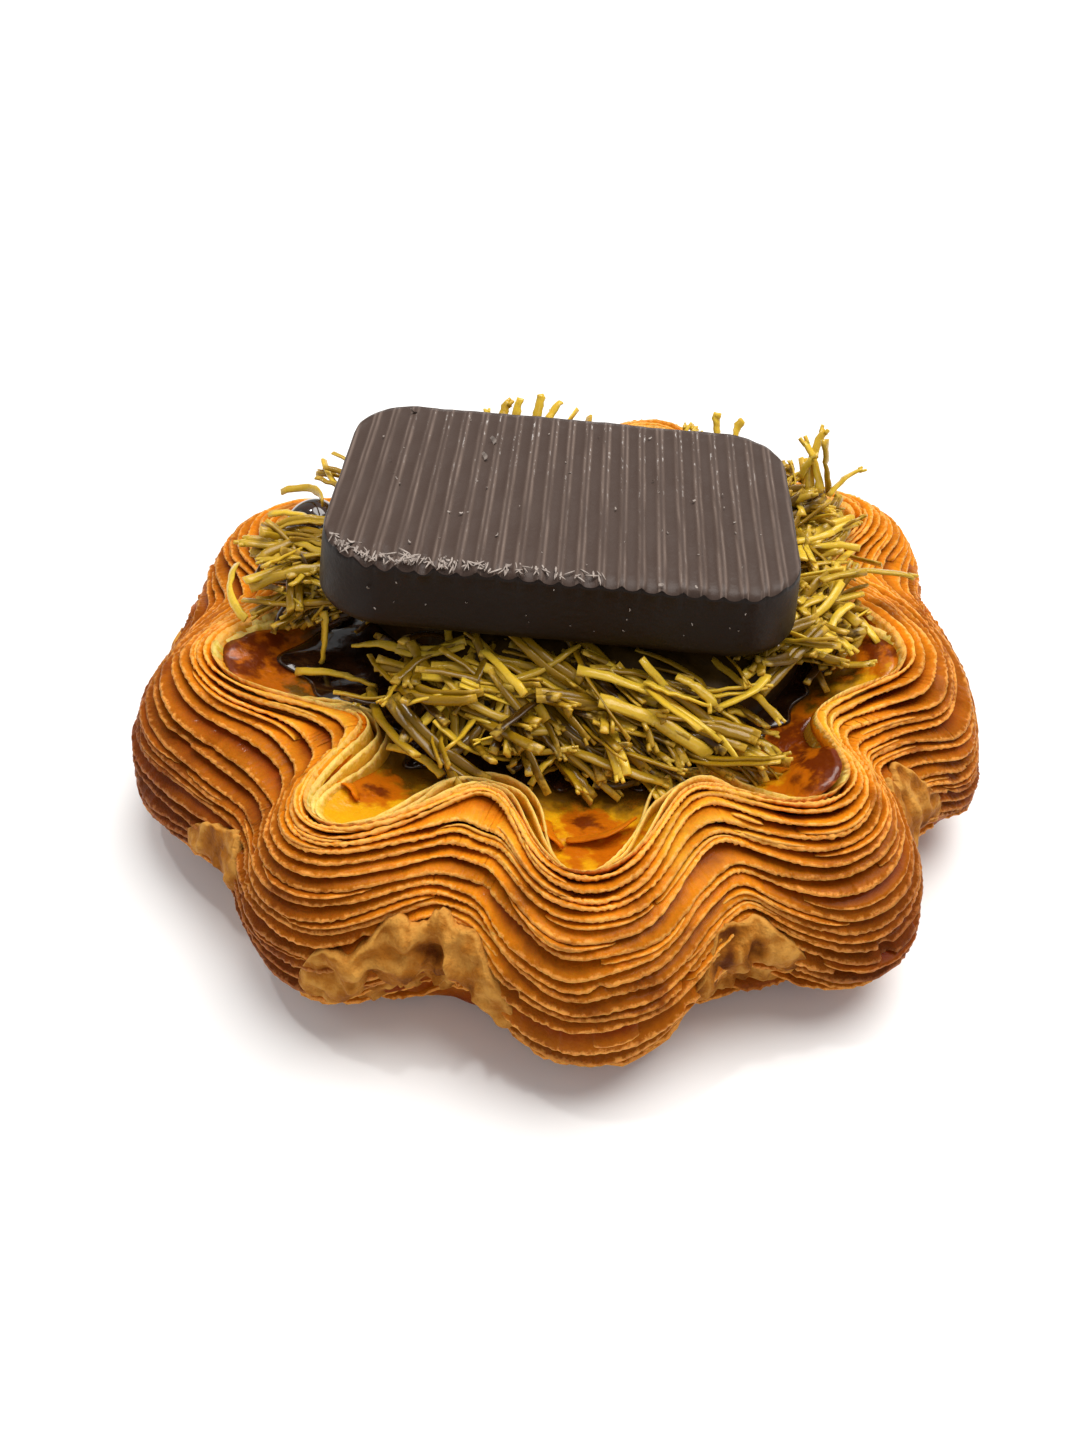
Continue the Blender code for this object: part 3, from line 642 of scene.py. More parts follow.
def inner_leaf(builder, inset, drop, seed):
    """A leaf inside the rim that shows beside the ridges and sinks into the custard elsewhere."""
    turn = turns(SHEET_STEPS)
    lobe = lobe_weight(turn)
    sunk = np.clip((lobe - 0.3 - 0.12 * ripple(turn, seed, 3, 16)) / 0.6, 0, 1)
    inset = inset * (1 + 0.2 * ripple(turn, seed + 1, 4, 24)) * (0.2 + 0.8 * (1 - lobe) ** 0.8)
    inset = inset * blend(LEAF_SPREADS, turn - 0.5)
    base, top = wall(turn, 0.35), wall(turn, 1.0)
    away = -inward(top)
    edge = top - away * inset[:, None]
    edge[:, 2] += 0.3 * ripple(turn, seed + 2, 6, 40) + 0.05 * ripple(turn, seed + 3, 60, 300, 30)
    edge[:, 2] -= drop * (1 - sunk) + (0.3 + 0.3 * drop) * sunk
    root = base * (1, 1, 0) - away * (inset - 0.3)[:, None]
    root[:, 2] = LEAF_ROOT_HEIGHT
    bow = 0.2 + 0.2 * ripple(turn, seed + 4, 4, 20)
    tone = 0.5 + 0.3 * ripple(turn, seed + 5, 5, 30)
    leaf(builder, root, edge, away, bow, SHEET_THICKNESS, EDGE_SWELL, outer=-0.35, tone=tone)


# The loose crust stays this far above the floor, in mm.
FLOOR_GAP = 0.05
# Where the crust under the skirt changes its slope.
UNDER_STOPS = (0.0, 0.34, 0.72, 1.0)


def under_point(turn, low):
    """The crust under the skirt: low runs from 0 at the skirt to 1 at the flat base."""
    weight = lobe_weight(turn)
    skirt, height = skirt_radius(turn), skirt_height(turn)
    radii = (skirt * 0.985, skirt * 0.955, 39.4 + 2.6 * weight, 36.6 + 1.1 * weight)
    heights = (height - 0.3, height * 0.55, 1.9, 0.0)
    part = max(i for i in range(3) if low >= UNDER_STOPS[i])
    share = (low - UNDER_STOPS[part]) / (UNDER_STOPS[part + 1] - UNDER_STOPS[part])
    radius = radii[part] * (1 - share) + radii[part + 1] * share
    level = heights[part] * (1 - share) + heights[part + 1] * share
    return polar(radius, flower_angle(turn, 1.0), level)


def band(turn, down, low):
    """Points and outward directions down the outside and on under the skirt."""
    if low <= 0:
        return outside(turn, down), outside_axes(turn, down)[0]
    points = under_point(turn, low)
    return points, unit(points * (1, 1, 0) + np.array((0, 0, -4.0)))


# Crumpled flaps of crust: first and last turn, how far down the outside they start, bulge and seed.
APRONS = (
    (8.05, 8.80, 0.62, 1.6, 801),
    (0.28, 0.74, 0.70, 1.3, 811),
    (1.24, 1.70, 0.50, 0.8, 821),
    (7.30, 7.70, 0.70, 0.8, 831),
    (2.40, 2.65, 0.82, 0.45, 841),
    (3.38, 3.60, 0.84, 0.45, 861),
    (4.42, 4.68, 0.80, 0.5, 871),
    (5.36, 5.58, 0.84, 0.45, 881),
    (6.40, 6.62, 0.82, 0.45, 891),
)
# The bulge at which a flap has its full crumples, and how deep its back lies in the shell, in mm.
APRON_BULGE, APRON_DEPTH = 1.5, 0.9
# Points along a flap and down it. Its back has one row for every few of the front.
APRON_STEPS, APRON_ROWS, APRON_BACK_EVERY = 170, 31, 6
# The share of a flap's height at which it passes the skirt.
APRON_SKIRT = 0.55


def apron(builder, first, last, top, bulge, seed):
    """A crumpled flap of crust that hangs in front of a valley and round under the skirt."""
    turn = np.linspace(first, last, APRON_STEPS)
    cover = np.sqrt(np.clip(1 - np.linspace(-1, 1, APRON_STEPS) ** 2, 0.0, 1))
    ragged = 1 + 0.16 * ripple(turn, seed, 12, 60) + 0.02 * ripple(turn, seed + 1, 100, 300)
    folds = 0.25 * ripple(turn, seed + 7, 40, 110)
    start = np.clip(1 - (1 - top) * cover * ragged, 0.3, 1)
    outer, inner = [], []
    for row, v in enumerate(np.linspace(0, 1, APRON_ROWS)):
        down = start + (1 - start) * min(v / APRON_SKIRT, 1.0)
        points, normal = band(turn, down, max(0.0, (v - APRON_SKIRT) / (1 - APRON_SKIRT) * 0.5))
        crumple = 0.8 * bumps(points, 4.0, seed) + 0.9 * bumps(points, 1.6, seed + 1)
        crumple += 0.5 * bumps(points, 0.8, seed + 2)
        crumple = (crumple + folds - 1.3 * np.abs(bumps(points, 2.6, seed + 3))) * bulge / APRON_BULGE
        rise = bulge * (0.35 + 0.65 * math.sin(math.pi * min(v + 0.15, 1.0)))
        lift = (rise + crumple * min(1.0, 0.4 + v * 3)) * cover - 0.8 * (1 - cover)
        outer.append(points + normal * lift[:, None])
        if row % APRON_BACK_EVERY == 0:
            inner.append(points - normal * APRON_DEPTH)
    rings = np.array(outer + inner[::-1]).transpose(1, 0, 2)
    rings[..., 2] = np.maximum(rings[..., 2], FLOOR_GAP)
    # edge is low in the crumples' creases, which get the crust's painted shade.
    hollow = np.abs(bumps(rings, 2.6, seed + 3))
    edge = 0.90 - 0.65 * hollow + 0.15 * bumps(rings, 0.9, seed + 5)
    edge[:, 0] = 1.0
    builder.grid(rings, caps=(0, -1), edge=edge)


# The shards: how many, points along each, and thickness in mm.
SHARD_COUNT, SHARD_STEPS, SHARD_THICKNESS = 95, 30, 0.28


def shard(builder, draw, places):
    """A short loose piece of a layer, lying on the sheets with its edge standing out a little."""
    middle, half = draw.uniform(0, LOBES), draw.uniform(0.05, 0.22)
    turn = np.linspace(middle - half, middle + half, SHARD_STEPS)
    span = np.cos(np.linspace(-1, 1, SHARD_STEPS) * math.pi / 2) ** 0.5
    index = draw.randrange(2, SHEET_COUNT)
    way = draw.uniform(0.3, 0.8)
    column = np.arange(SHEET_STEPS) * LOBES / SHEET_STEPS
    upper = np.interp(turn % LOBES, column, places[index - 1])
    lower = np.interp(turn % LOBES, column, places[index])
    at = upper * (1 - way) + lower * way
    normal, _ = outside_axes(turn, at)
    root = outside(turn, upper) - normal * 1.2
    edge = outside(turn, at) + normal * (draw.uniform(-0.05, 0.35) * span - 0.5 * (1 - span))[:, None]
    seed = draw.randrange(10000)
    jagged = 0.05 * ripple(turn, seed, 200, 500, 30) + 0.05 * ripple(turn, seed + 1, 40, 120)
    edge += normal * jagged[:, None]
    thin = unit(np.cross(unit(edge - root), unit(np.gradient(edge, axis=0))))
    rows, marks = leaf_rows(root, edge, thin, 0.0, SHARD_THICKNESS * span)
    looks = {"outer": baked(turn, at)[:, None] - 0.1, "tone": draw.uniform(0.3, 0.9)}
    builder.grid(rows.transpose(1, 0, 2), caps=(0, -1), edge=marks.T, **looks)


# Folds of inner pastry lying on the custard: their thickness and how far they bow up, in mm, and
# the start, end, bend and width of each.
FOLD_THICKNESS, FOLD_RISE = 0.3, 0.3
FOLDS = (
    ((-1.2, -31.4, 19.0), (5.0, -29.2, 19.4), -0.9, 2.4),
    ((-23.6, -24.4, 19.2), (-20.6, -27.4, 20.2), 0.6, 1.6),
    ((-2.8, -28.6, 18.3), (-1.6, -32.6, 19.6), -0.6, 1.8),
    ((25.6, -22.6, 19.6), (28.0, -25.4, 20.6), 0.6, 1.8),
)


def loose_pieces(material, places):
    """The flaps in the valleys, the shards on the sheets and the folds on the custard."""
    builder = Builder("pastry_aprons", ("edge",))
    for first, last, top, bulge, seed in APRONS:
        apron(builder, first, last, top, bulge, seed)
    builder.build(crust_material())
    builder = Builder("pastry_flaps", PASTRY_LOOKS)
    draw = random.Random(23)
    for _ in range(SHARD_COUNT):
        shard(builder, draw, places)
    for start, end, bend, width in FOLDS:
        path = bent_path(draw, np.array(start), np.array(end), bend, FOLD_RISE)
        widths = width * (0.35 + 0.65 * np.sin(math.pi * np.clip(SHRED_SHARES, 0.05, 0.95)))
        tube(builder, path, widths, FOLD_THICKNESS, (0.5, 0.5), 0.5, 0 * widths)
    return builder.build(material)


def shell_core(material):
    """The body behind and under the sheets, closed from the cavity floor to the base."""
    builder = Builder("pastry_core", PASTRY_LOOKS)
    turn = turns(CORE_STEPS)
    rows, edges, outers = [], [], []
    for level in (0.0, 0.15, 0.3, 0.5, 0.7, 0.85):
        rows.append(wall(turn, level, -0.35))
        edges.append(0.45)
        outers.append(0.05)
    for down in np.arange(31) / 30:
        points = outside(turn, np.full_like(turn, down))
        normal, _ = outside_axes(turn, np.full_like(turn, down))
        depth = (GAP_DEPTH if down < 0.97 else 1.0) + 0.2 * bumps(points, 3.0, 5)
        rows.append(points - normal * depth[:, None])
        # The core's outside shows only down in the gaps, so a low edge gives it the painted gap shade.
        edges.append(0.05)
        outers.append(down)
    for low in np.arange(19) / 18:
        points = under_point(turn, low)
        fade = min(1.0, (1 - low) * 4) * (0.3 + 0.7 * min(1.0, low * 5))
        crumple = 0.9 * bumps(points, 7.0, 1) + 0.5 * bumps(points, 3.0, 2) + 0.25 * bumps(points, 1.2, 3)
        crumple -= 0.45 * np.abs(bumps(points, 4.5, 4))
        points += unit(points * (1, 1, 0)) * (fade * crumple)[:, None]
        points[:, 2] = np.maximum(points[:, 2], 0.0)
        rows.append(points)
        # Under the skirt a middling edge mixes painted gap shade into the crust.
        edges.append(0.6 + 0.35 * bumps(points, 2.0, 7))
        outers.append(0.8)
    edge = np.array([np.broadcast_to(row, turn.shape) for row in edges])
    builder.grid(np.array(rows), caps=(0, -1), edge=edge, outer=np.array(outers)[:, None], tone=0.5)
    return builder.build(material, node="pastry_shell")


# Thickness of the flakes under the skirt, and how deep they are rooted, in mm.
UNDER_THICKNESS, UNDER_ROOT = 0.34, 1.6


def under_sheets(material):
    """Ragged flakes that stand out of the crust below the skirt in places."""
    builder = Builder("pastry_underflakes", PASTRY_LOOKS)
    turn = turns(UNDER_STEPS)
    for index, low in enumerate((0.10, 0.24, 0.40, 0.56, 0.74)):
        seed = 900 + 10 * index
        shift = 0.05 * ripple(turn, seed, 4, 24)
        upper, lower = under_point(turn, low), under_point(turn, min(low + 0.1, 1.0))
        middle = upper + (lower - upper) * (shift / 0.1)[:, None]
        out = unit(middle * (1, 1, 0)) + np.array((0, 0, -0.35))
        reach = 0.2 + 0.8 * ripple(turn, seed + 1, 5, 26) + 0.12 * ripple(turn, seed + 2, 50, 300)
        reach = np.clip(reach, -0.6, 1.3) * min(1.0, (1 - low) * 2.2)
        root, edge = middle - out * UNDER_ROOT, middle + out * reach[:, None]
        down = np.array((0.0, 0.0, -1.0))
        rows, marks = leaf_rows(root, edge, down, 0.0, UNDER_THICKNESS, shares=UNDER_SHARES)
        rows[..., 2] = np.maximum(rows[..., 2], FLOOR_GAP)
        builder.grid(rows, wrap_rows=True, edge=marks, outer=0.75, tone=0.4 + 0.1 * index)
    return builder.build(material)


def pastry():
    """All pieces of the shell."""
    material = pastry_material()
    shell_core(material)
    under_sheets(material)
    places = sheet_places()
    for name, first, last in (("upper", 1, 6), ("middle", 6, 11), ("lower", 11, SHEET_COUNT)):
        builder = Builder(f"pastry_sheets_{name}", PASTRY_LOOKS)
        for index in range(first, last):
            sheet(builder, index, places)
        builder.build(material)
    loose_pieces(material, places)
    builder = Builder("pastry_sheets_rim", PASTRY_LOOKS)
    rim_sheet(builder)
    for index, (inset, drop) in enumerate(INNER_LEAVES):
        inner_leaf(builder, inset, drop, 400 + 10 * index)
    builder.build(material)


# --- Custard and sauce ----------------------------------------------------------------------

# How high the custard stands in each lobe and in the valleys, as a share of the wall's height.
CUSTARD_LEVELS = (0.86, 0.90, 0.93, 0.80, 0.80, 0.80, 0.86, 0.93, 0.91)
VALLEY_CUSTARD_LEVEL = 0.80
# The custard's height in the middle, in mm.
CUSTARD_MIDDLE = 15.8
# Points round the custard and the sauce.
FILLING_STEPS = 540
# Scorched places: x, y, radius and strength.
SPOTS = (
    (-19.4, -24.6, 3.2, 0.88),
    (1.5, -32.5, 6.5, 0.60),
    (0.8, -28.5, 2.6, 1.05),
    (24.0, -24.5, 5.5, 1.15),
    (22.0, -18.0, 5.5, 1.05),
    (33.5, -6.0, 5.5, 1.0),
    (-34.5, -6.0, 8.0, 1.05),
    (29.0, 16.0, 6.0, 1.0),
)
# Burnt swellings: x, y, radius and rise.
SWELLINGS = ((23.8, -24.6, 3.8, 2.0),)


def custard_level(turn):
    """Where the custard meets the wall, as a share of the wall's height."""
    return flower(turn, CUSTARD_LEVELS, VALLEY_CUSTARD_LEVEL)


def custard_top(turn, share):
    """The custard's skin: it climbs the walls and is lower in the middle. share is 1 at the wall."""
    level = custard_level(turn)
    edge = wall(turn, level, 0.1)
    share = share + 0 * turn
    points = edge * np.stack([share, share, 0 * share], -1)
    climb = np.clip((share - 0.45) / 0.55, 0, 1)
    points[:, 2] = CUSTARD_MIDDLE + (edge[:, 2] - CUSTARD_MIDDLE) * climb**1.7
    return points


def custard():
    """The filling: spot grows at scorched places, soak where the sauce lies."""
    builder = Builder("custard_filling", ("spot", "soak"))
    turn = turns(FILLING_STEPS)
    side = [wall(turn, level, 0.3) for level in (0.03, 0.3, 0.6)]
    shares = [1 - i / 40 for i in range(40)]
    points = np.array(side + [custard_top(turn, share) for share in shares])
    top = points[len(side) :]
    reach = sauce_reach(turn)
    soak = [np.clip(1.25 - (share - reach) / 0.16, 0, 1.25) for share in shares]
    soak = np.array([0 * turn] * len(side) + soak)
    uneven = 0.35 * bumps(top * (1, 1, 0), 5.0, 11) + 0.25 * bumps(top * (1, 1, 0), 1.8, 12)
    top[..., 2] += uneven * np.clip((np.array(shares)[:, None] - reach) / 0.08, 0.15, 1)
    for x, y, radius, rise in SWELLINGS:
        away = np.hypot(top[..., 0] - x, top[..., 1] - y) / radius
        top[..., 2] += (rise + 0.5 * bumps(top, 1.1, 13)) * np.exp(-(away**4))
    spot = np.zeros(points.shape[:2])
    for x, y, radius, strength in SPOTS:
        away = np.hypot(points[..., 0] - x, points[..., 1] - y) / radius
        spot = np.maximum(spot, strength * np.exp(-away * away))
    builder.grid(points, caps=(0, -1), spot=spot, soak=soak)
    return builder.build(custard_material(), node="custard")


# How far the sauce runs out in each lobe and in the valleys, as a share of the way to the wall.
SAUCE_REACHES = (0.62, 0.72, 0.80, 0.86, 0.80, 0.80, 0.93, 0.84, 0.66)
VALLEY_SAUCE_REACH = 0.92
# The sauce's own depth in the middle and at its edge, and its gap to the custard, in mm.
SAUCE_THICKNESS, SAUCE_EDGE, SAUCE_GAP = 1.7, 0.18, 0.12
# Where the rows of the pool lie, from under it round its edge to its middle.
POOL_SHARES = (0.5, 0.97, 1.0, 0.985, 0.95, 0.9, 0.8, 0.65, 0.45, 0.2)


def sauce_reach(turn):
    """How far the sauce runs out, as a share of the way to the wall."""
    return flower(turn, SAUCE_REACHES, VALLEY_SAUCE_REACH, 0.7)


def sauce():
    """The pool of sauce, and the blob that stands in it at the back left."""
    builder = Builder("sauce_pool")
    turn = turns(FILLING_STEPS)
    reach = sauce_reach(turn) * (1 + 0.03 * ripple(turn, 31, 8, 40))
    rows = []
    for i, share in enumerate(POOL_SHARES):
        height = SAUCE_GAP if i < 2 else SAUCE_THICKNESS * (1 - share**6) + SAUCE_EDGE
        base = custard_top(turn, reach * share)
        base[:, 2] += height
        if i > 3:
            base[:, 2] += 0.15 * bumps(base * (1, 1, 0), 4.0, 15)
        rows.append(base)
    builder.grid(np.array(rows), caps=(0, -1))
    angle, tilt = np.meshgrid(TAU * np.arange(64) / 64, math.pi * np.arange(1, 32) / 32)
    blob = np.stack([np.sin(tilt) * np.cos(angle), np.sin(tilt) * np.sin(angle), np.cos(tilt)], -1)
    swell = 1 + 0.10 * bumps(blob, 0.9, 3)[..., None]
    builder.grid(blob * swell * BLOB_RADII + BLOB_CENTRE, caps=(0, -1))
    return builder.build(sauce_material(), node="chocolate_sauce")


# --- Chocolate bar --------------------------------------------------------------------------


def bar_frame():
    """The bar's place: its origin is the centre of its top."""
    turn = Matrix.Rotation(math.radians(BAR_YAW), 4, "Z")
    turn = turn @ Matrix.Rotation(math.radians(BAR_PITCH), 4, "X")
    turn = turn @ Matrix.Rotation(math.radians(BAR_ROLL), 4, "Y")
    return Matrix.Translation(Vector(BAR_CENTRE)) @ turn


BAR_FRAME = np.array(bar_frame())
BAR_INVERSE = np.linalg.inv(BAR_FRAME)


def to_bar(points):
    """Points in the bar's own place."""
    return points @ BAR_INVERSE[:3, :3].T + BAR_INVERSE[:3, 3]


def from_bar(points):
    """Points given in the bar's own place."""
    return points @ BAR_FRAME[:3, :3].T + BAR_FRAME[:3, 3]


# Half of a groove's width and the softness of its arrises, as shares of the ridges' pitch.
GROOVE_HALF, ARRIS_WIDTH = 0.36, 0.07
# How far each groove's end bulges out of the bar's front edge, in mm.
SCALLOP = 0.26
# The bar's side: how far it stands out of the top's edge and how deep below, in mm.
BAR_PROFILE = (
    (0.0, 0.0),
    (0.03, 0.06),
    (0.12, 0.25),
    (0.2, 0.7),
    (0.4, 2.2),
    (0.62, 3.8),
    (0.82, 5.2),
    (0.97, 6.2),
    (0.98, 6.6),
    (0.85, 6.95),
    (0.55, 7.25),
    (0.1, 7.4),
    (-1.5, 7.4),
)
# Depth at which the ridges have faded out of the side, and width of the rounded border of the top.
RIDGE_FADE, BORDER = 1.2, 0.8


def ridge_phase(x):
    """Where x lies between two ridges, from 0 to 1."""
    return (x / RIDGE_PITCH + 0.03 * np.sin(x * 0.9)) % 1.0


def ridge(x):
    """Depth of the ridged face, and how near it is to one of the two arrises of each ridge."""
    away = np.abs(ridge_phase(x) - 0.5)
    groove = np.clip(1 - away / GROOVE_HALF, 0, 1)
    depth = -RIDGE_DEPTH * np.sqrt(np.clip(1 - (1 - groove) ** 2, 0, 1))
    return depth, np.exp(-(((away - GROOVE_HALF) / ARRIS_WIDTH) ** 2))


def half_depth(x):
    """Half the bar's depth at x, with its rounded corners."""
    over = np.maximum(np.abs(x) - (BAR_LENGTH / 2 - BAR_CORNER), 0)
    return BAR_DEPTH / 2 - BAR_CORNER + np.sqrt(np.maximum(BAR_CORNER**2 - over**2, 0))


def bar_top(builder):
    """The ridged face with its scalloped front edge. Also gives that edge's places unscalloped."""
    x = BAR_LENGTH / 2 * np.linspace(-1, 1, 400)
    y = np.linspace(-1, 1, 32)[:, None] * half_depth(x)[None]
    front = y[0].copy()
    arc = np.sqrt(1 - (2 * ridge_phase(x) - 1) ** 2)
    y[0] -= SCALLOP * arc * np.clip((BAR_LENGTH / 2 - 1.5 - np.abs(x)) / 3, 0, 1)
    x = np.broadcast_to(x, y.shape)
    depth, crest = ridge(x)
    depth = depth * np.clip((half_depth(x) - y) / 1.8, 0.1, 1)
    flat = np.stack([x, y, 0 * x], -1)
    wear = 0.05 * bumps(flat, 1.2, 21) + 0.08 * bumps(flat, 5.0, 22)
    border = np.maximum(np.abs(y) - half_depth(x) + BORDER, 0) / BORDER
    border = np.maximum(border, np.maximum(np.abs(x) - BAR_LENGTH / 2 + BORDER, 0) / BORDER)
    height = depth + wear - 0.22 * border**2
    chipped = np.exp(-(((x + 16.5) / 6.5) ** 2)) * np.clip((-y - half_depth(x) + 2.6) / 2.6, 0, 1)
    height += chipped * (0.55 * bumps(flat, 0.9, 23) - 0.1)
    # Where the pale specks of painted glints and dust go: mostly in the middle and towards the back, and
    # over the chipped place where the chocolate is broken.
    frost = np.clip(1.2 - np.abs((x - 2) / 20) ** 3, 0, 1) * np.clip(0.25 + y / 12, 0.12, 1)
    frost = np.maximum(frost, chipped * 1.2)
    top = np.stack([x, y, height], -1)
    builder.grid(from_bar(top), wrap_columns=False, top=1.0, crest=crest, frost=frost)
    return top, front


def bar_side(builder, top, front):
    """The side and the underside, which start at the top's border."""
    rim = np.concatenate([top[0, :-1], top[:-1, -1], top[-1, :0:-1], top[:0:-1, 0]])
    inner = np.array((BAR_LENGTH / 2 - BAR_CORNER, BAR_DEPTH / 2 - BAR_CORNER))
    out = rim[:, :2] - np.clip(rim[:, :2], -inner, inner)
    out /= np.maximum(np.linalg.norm(out, axis=1, keepdims=True), 1e-6)
    smooth = rim[:, :2].copy()
    smooth[: len(front) - 1, 1] = front[:-1]
    rows = []
    for grow, sink in BAR_PROFILE:
        fall = min(sink / RIDGE_FADE, 1.0)
        plan = rim[:, :2] * (1 - fall) + smooth * fall + out * grow
        ring = np.column_stack([plan, rim[:, 2] * (1 - fall) - sink])
        soft = 0.05 * bumps(ring, 2.5, 24) * (sink > 0)
        ring[:, :2] += out * soft[:, None]
        rows.append(ring)
    marks = np.zeros((len(rows), 1))
    marks[0] = 0.9
    builder.grid(from_bar(np.array(rows)), caps=(-1,), top=marks)


def chocolate_bar():
    """The bar, its top and side welded along the border."""
    builder = Builder("ridged_bar", ("top", "crest", "frost"))
    bar_side(builder, *bar_top(builder))
    piece = builder.build(bar_material(), node="chocolate_bar")
    bm = bmesh.new()
    bm.from_mesh(piece.data)
    bmesh.ops.remove_doubles(bm, verts=bm.verts, dist=1e-6)
    bmesh.ops.recalc_face_normals(bm, faces=bm.faces)
    bm.to_mesh(piece.data)
    bm.free()
    return piece


# Where the rows of a shaving lie along it, and its thickness in mm.
FLAKE_SHARES, FLAKE_THICKNESS = (-0.5, -0.25, 0.0, 0.25, 0.5), 0.07


def flake(builder, centre, size, draw):
    """One curled shaving."""
    turn = Matrix.Rotation(draw.uniform(0, TAU), 3, "Z")
    for axis in "XY":
        turn = turn @ Matrix.Rotation(draw.uniform(-0.9, 0.9), 3, axis)
    turn = np.array(turn)
    rows = []
    wide = size * draw.uniform(0.3, 0.6)
    for side, shares in ((0.5, FLAKE_SHARES), (-0.5, FLAKE_SHARES[::-1])):
        for share in shares:
            taper = 1 - 1.2 * share * share
            height = size * share * share + side * FLAKE_THICKNESS
            rows.append([(size * share, wide * taper * w, height) for w in (-0.5, 0.0, 0.5)])
    points = np.array(rows) @ turn.T + centre
    builder.grid(points, wrap_rows=True, wrap_columns=False)


def broken_ridge(builder, draw, x):
    """A fan of pale splinters where a ridge is broken at the bar's front edge."""
    edge = -float(half_depth(np.array(x)))
    for _ in range(draw.randint(4, 7)):
        heading = math.radians(draw.gauss(-90, 38))
        way = np.array((math.cos(heading), math.sin(heading), draw.uniform(-0.10, 0.22)))
        start = np.array((x + draw.gauss(0, 0.28), edge + draw.uniform(0.4, 1.7), 0.02))
        length, width = draw.uniform(0.5, 1.4), draw.uniform(0.12, 0.24)
        path = from_bar(start + np.outer((0.0, 0.35, 0.7, 1.0), way * length))
        tube(builder, path, width * np.array((0.6, 1.0, 0.8, 0.3)), 0.10, (0.0, 0.3), 0, np.zeros(4))


# Pitch of the broken ridge ends, and how many shavings lie along the front edge, on the top and on
# the front side.
BREAK_PITCH = RIDGE_PITCH * 0.92
EDGE_FLAKES, TOP_FLAKES, SIDE_FLAKES = 50, 40, 20
# Larger shavings on the top, in the bar's own place: x, y, height and size.
LARGE_FLAKES = ((-17.5, 12.2, 0.1, 0.8), (-8.2, 8.0, 0.1, 0.9), (-8.8, 4.8, 0.1, 0.9))


def shavings():
    """Splinters along the left of the bar's front edge, and loose shavings on it."""
    builder = Builder("bar_shavings")
    draw = random.Random(5)
    for place in range(-12, 3):
        broken_ridge(builder, draw, place * BREAK_PITCH)
        if place < -4:
            broken_ridge(builder, draw, (place + 0.5) * BREAK_PITCH)
    spots = []
    for _ in range(EDGE_FLAKES):
        x = -22.0 + abs(draw.gauss(0, 11))
        y = -float(half_depth(np.array(x))) + abs(draw.gauss(0, 0.7))
        spots.append((x, y, 0.1, draw.uniform(0.2, 0.75)))
    for _ in range(TOP_FLAKES):
        spots.append((draw.uniform(-20, 20), draw.uniform(-12, 13), 0.0, draw.uniform(0.15, 0.4)))
    spots += LARGE_FLAKES
    for _ in range(SIDE_FLAKES):
        depth = draw.uniform(-5.5, -0.8)
        y = -BAR_DEPTH / 2 - 0.5 + 0.06 * depth
        spots.append((draw.uniform(-20, 22), y, depth, draw.uniform(0.12, 0.32)))
    for x, y, z, size in spots:
        flake(builder, from_bar(np.array((x, y, z))), size, draw)
    return builder.build(chip_material())


# --- Shredded pastry ------------------------------------------------------------------------


# A height near the bar's underside, at which its footprint is taken.
FOOTPRINT_HEIGHT = 28.0
# The hollow at the front left of the heap: place, reach and depth.
HOLLOW_PLACE, HOLLOW_REACH, HOLLOW_DEPTH = (-24.0, -11.0), (8.0, 6.5), 8.0
HEAP_FLOOR = 18.0
# The core of the heap: its reach to the sides, back and front, and how far it lies under the skin.
CORE_SIDE, CORE_BACK, CORE_FRONT, CORE_DEPTH = 25.6, 26.0, 20.5, 1.5
# A notch in the core at the hollow: angle, half width and share of the reach.
CORE_NOTCH = (3.5, 0.42, 0.32)


def bar_underside(x, y):
    """Height of the bar's underside over the plan."""
    normal = BAR_FRAME[:3, 2]
    spot = from_bar(np.array((0.0, 0.0, -BAR_THICKNESS)))
    return spot[2] - (normal[0] * (x - spot[0]) + normal[1] * (y - spot[1])) / normal[2]


def beyond_bar(x, y):
    """Distance in plan outside the bar's footprint."""
    local = to_bar(np.stack([x, y, FOOTPRINT_HEIGHT + 0 * x], -1))
    dx = np.abs(local[..., 0]) - BAR_LENGTH / 2
    dy = np.abs(local[..., 1]) - BAR_DEPTH / 2
    return np.hypot(np.maximum(dx, 0), np.maximum(dy, 0))


def heap_height(x, y):
    """Height of the heap's skin over the plan: steep in front, flat behind, hollow at the front left."""
    angle = np.arctan2(y, x)
    front = np.clip(-np.sin(angle), 0, 1) ** 1.5
    back = np.clip(np.sin(angle), 0, 1)
    slope = 0.27 * (1 - front) * (1 - back) + 0.70 * front + 0.17 * back
    away_x, away_y = (x - HOLLOW_PLACE[0]) / HOLLOW_REACH[0], (y - HOLLOW_PLACE[1]) / HOLLOW_REACH[1]
    hollow = HOLLOW_DEPTH * np.exp(-(away_x**2) - away_y**2)
    return np.maximum(bar_underside(x, y) - 0.8 - slope * beyond_bar(x, y) - hollow, HEAP_FLOOR)


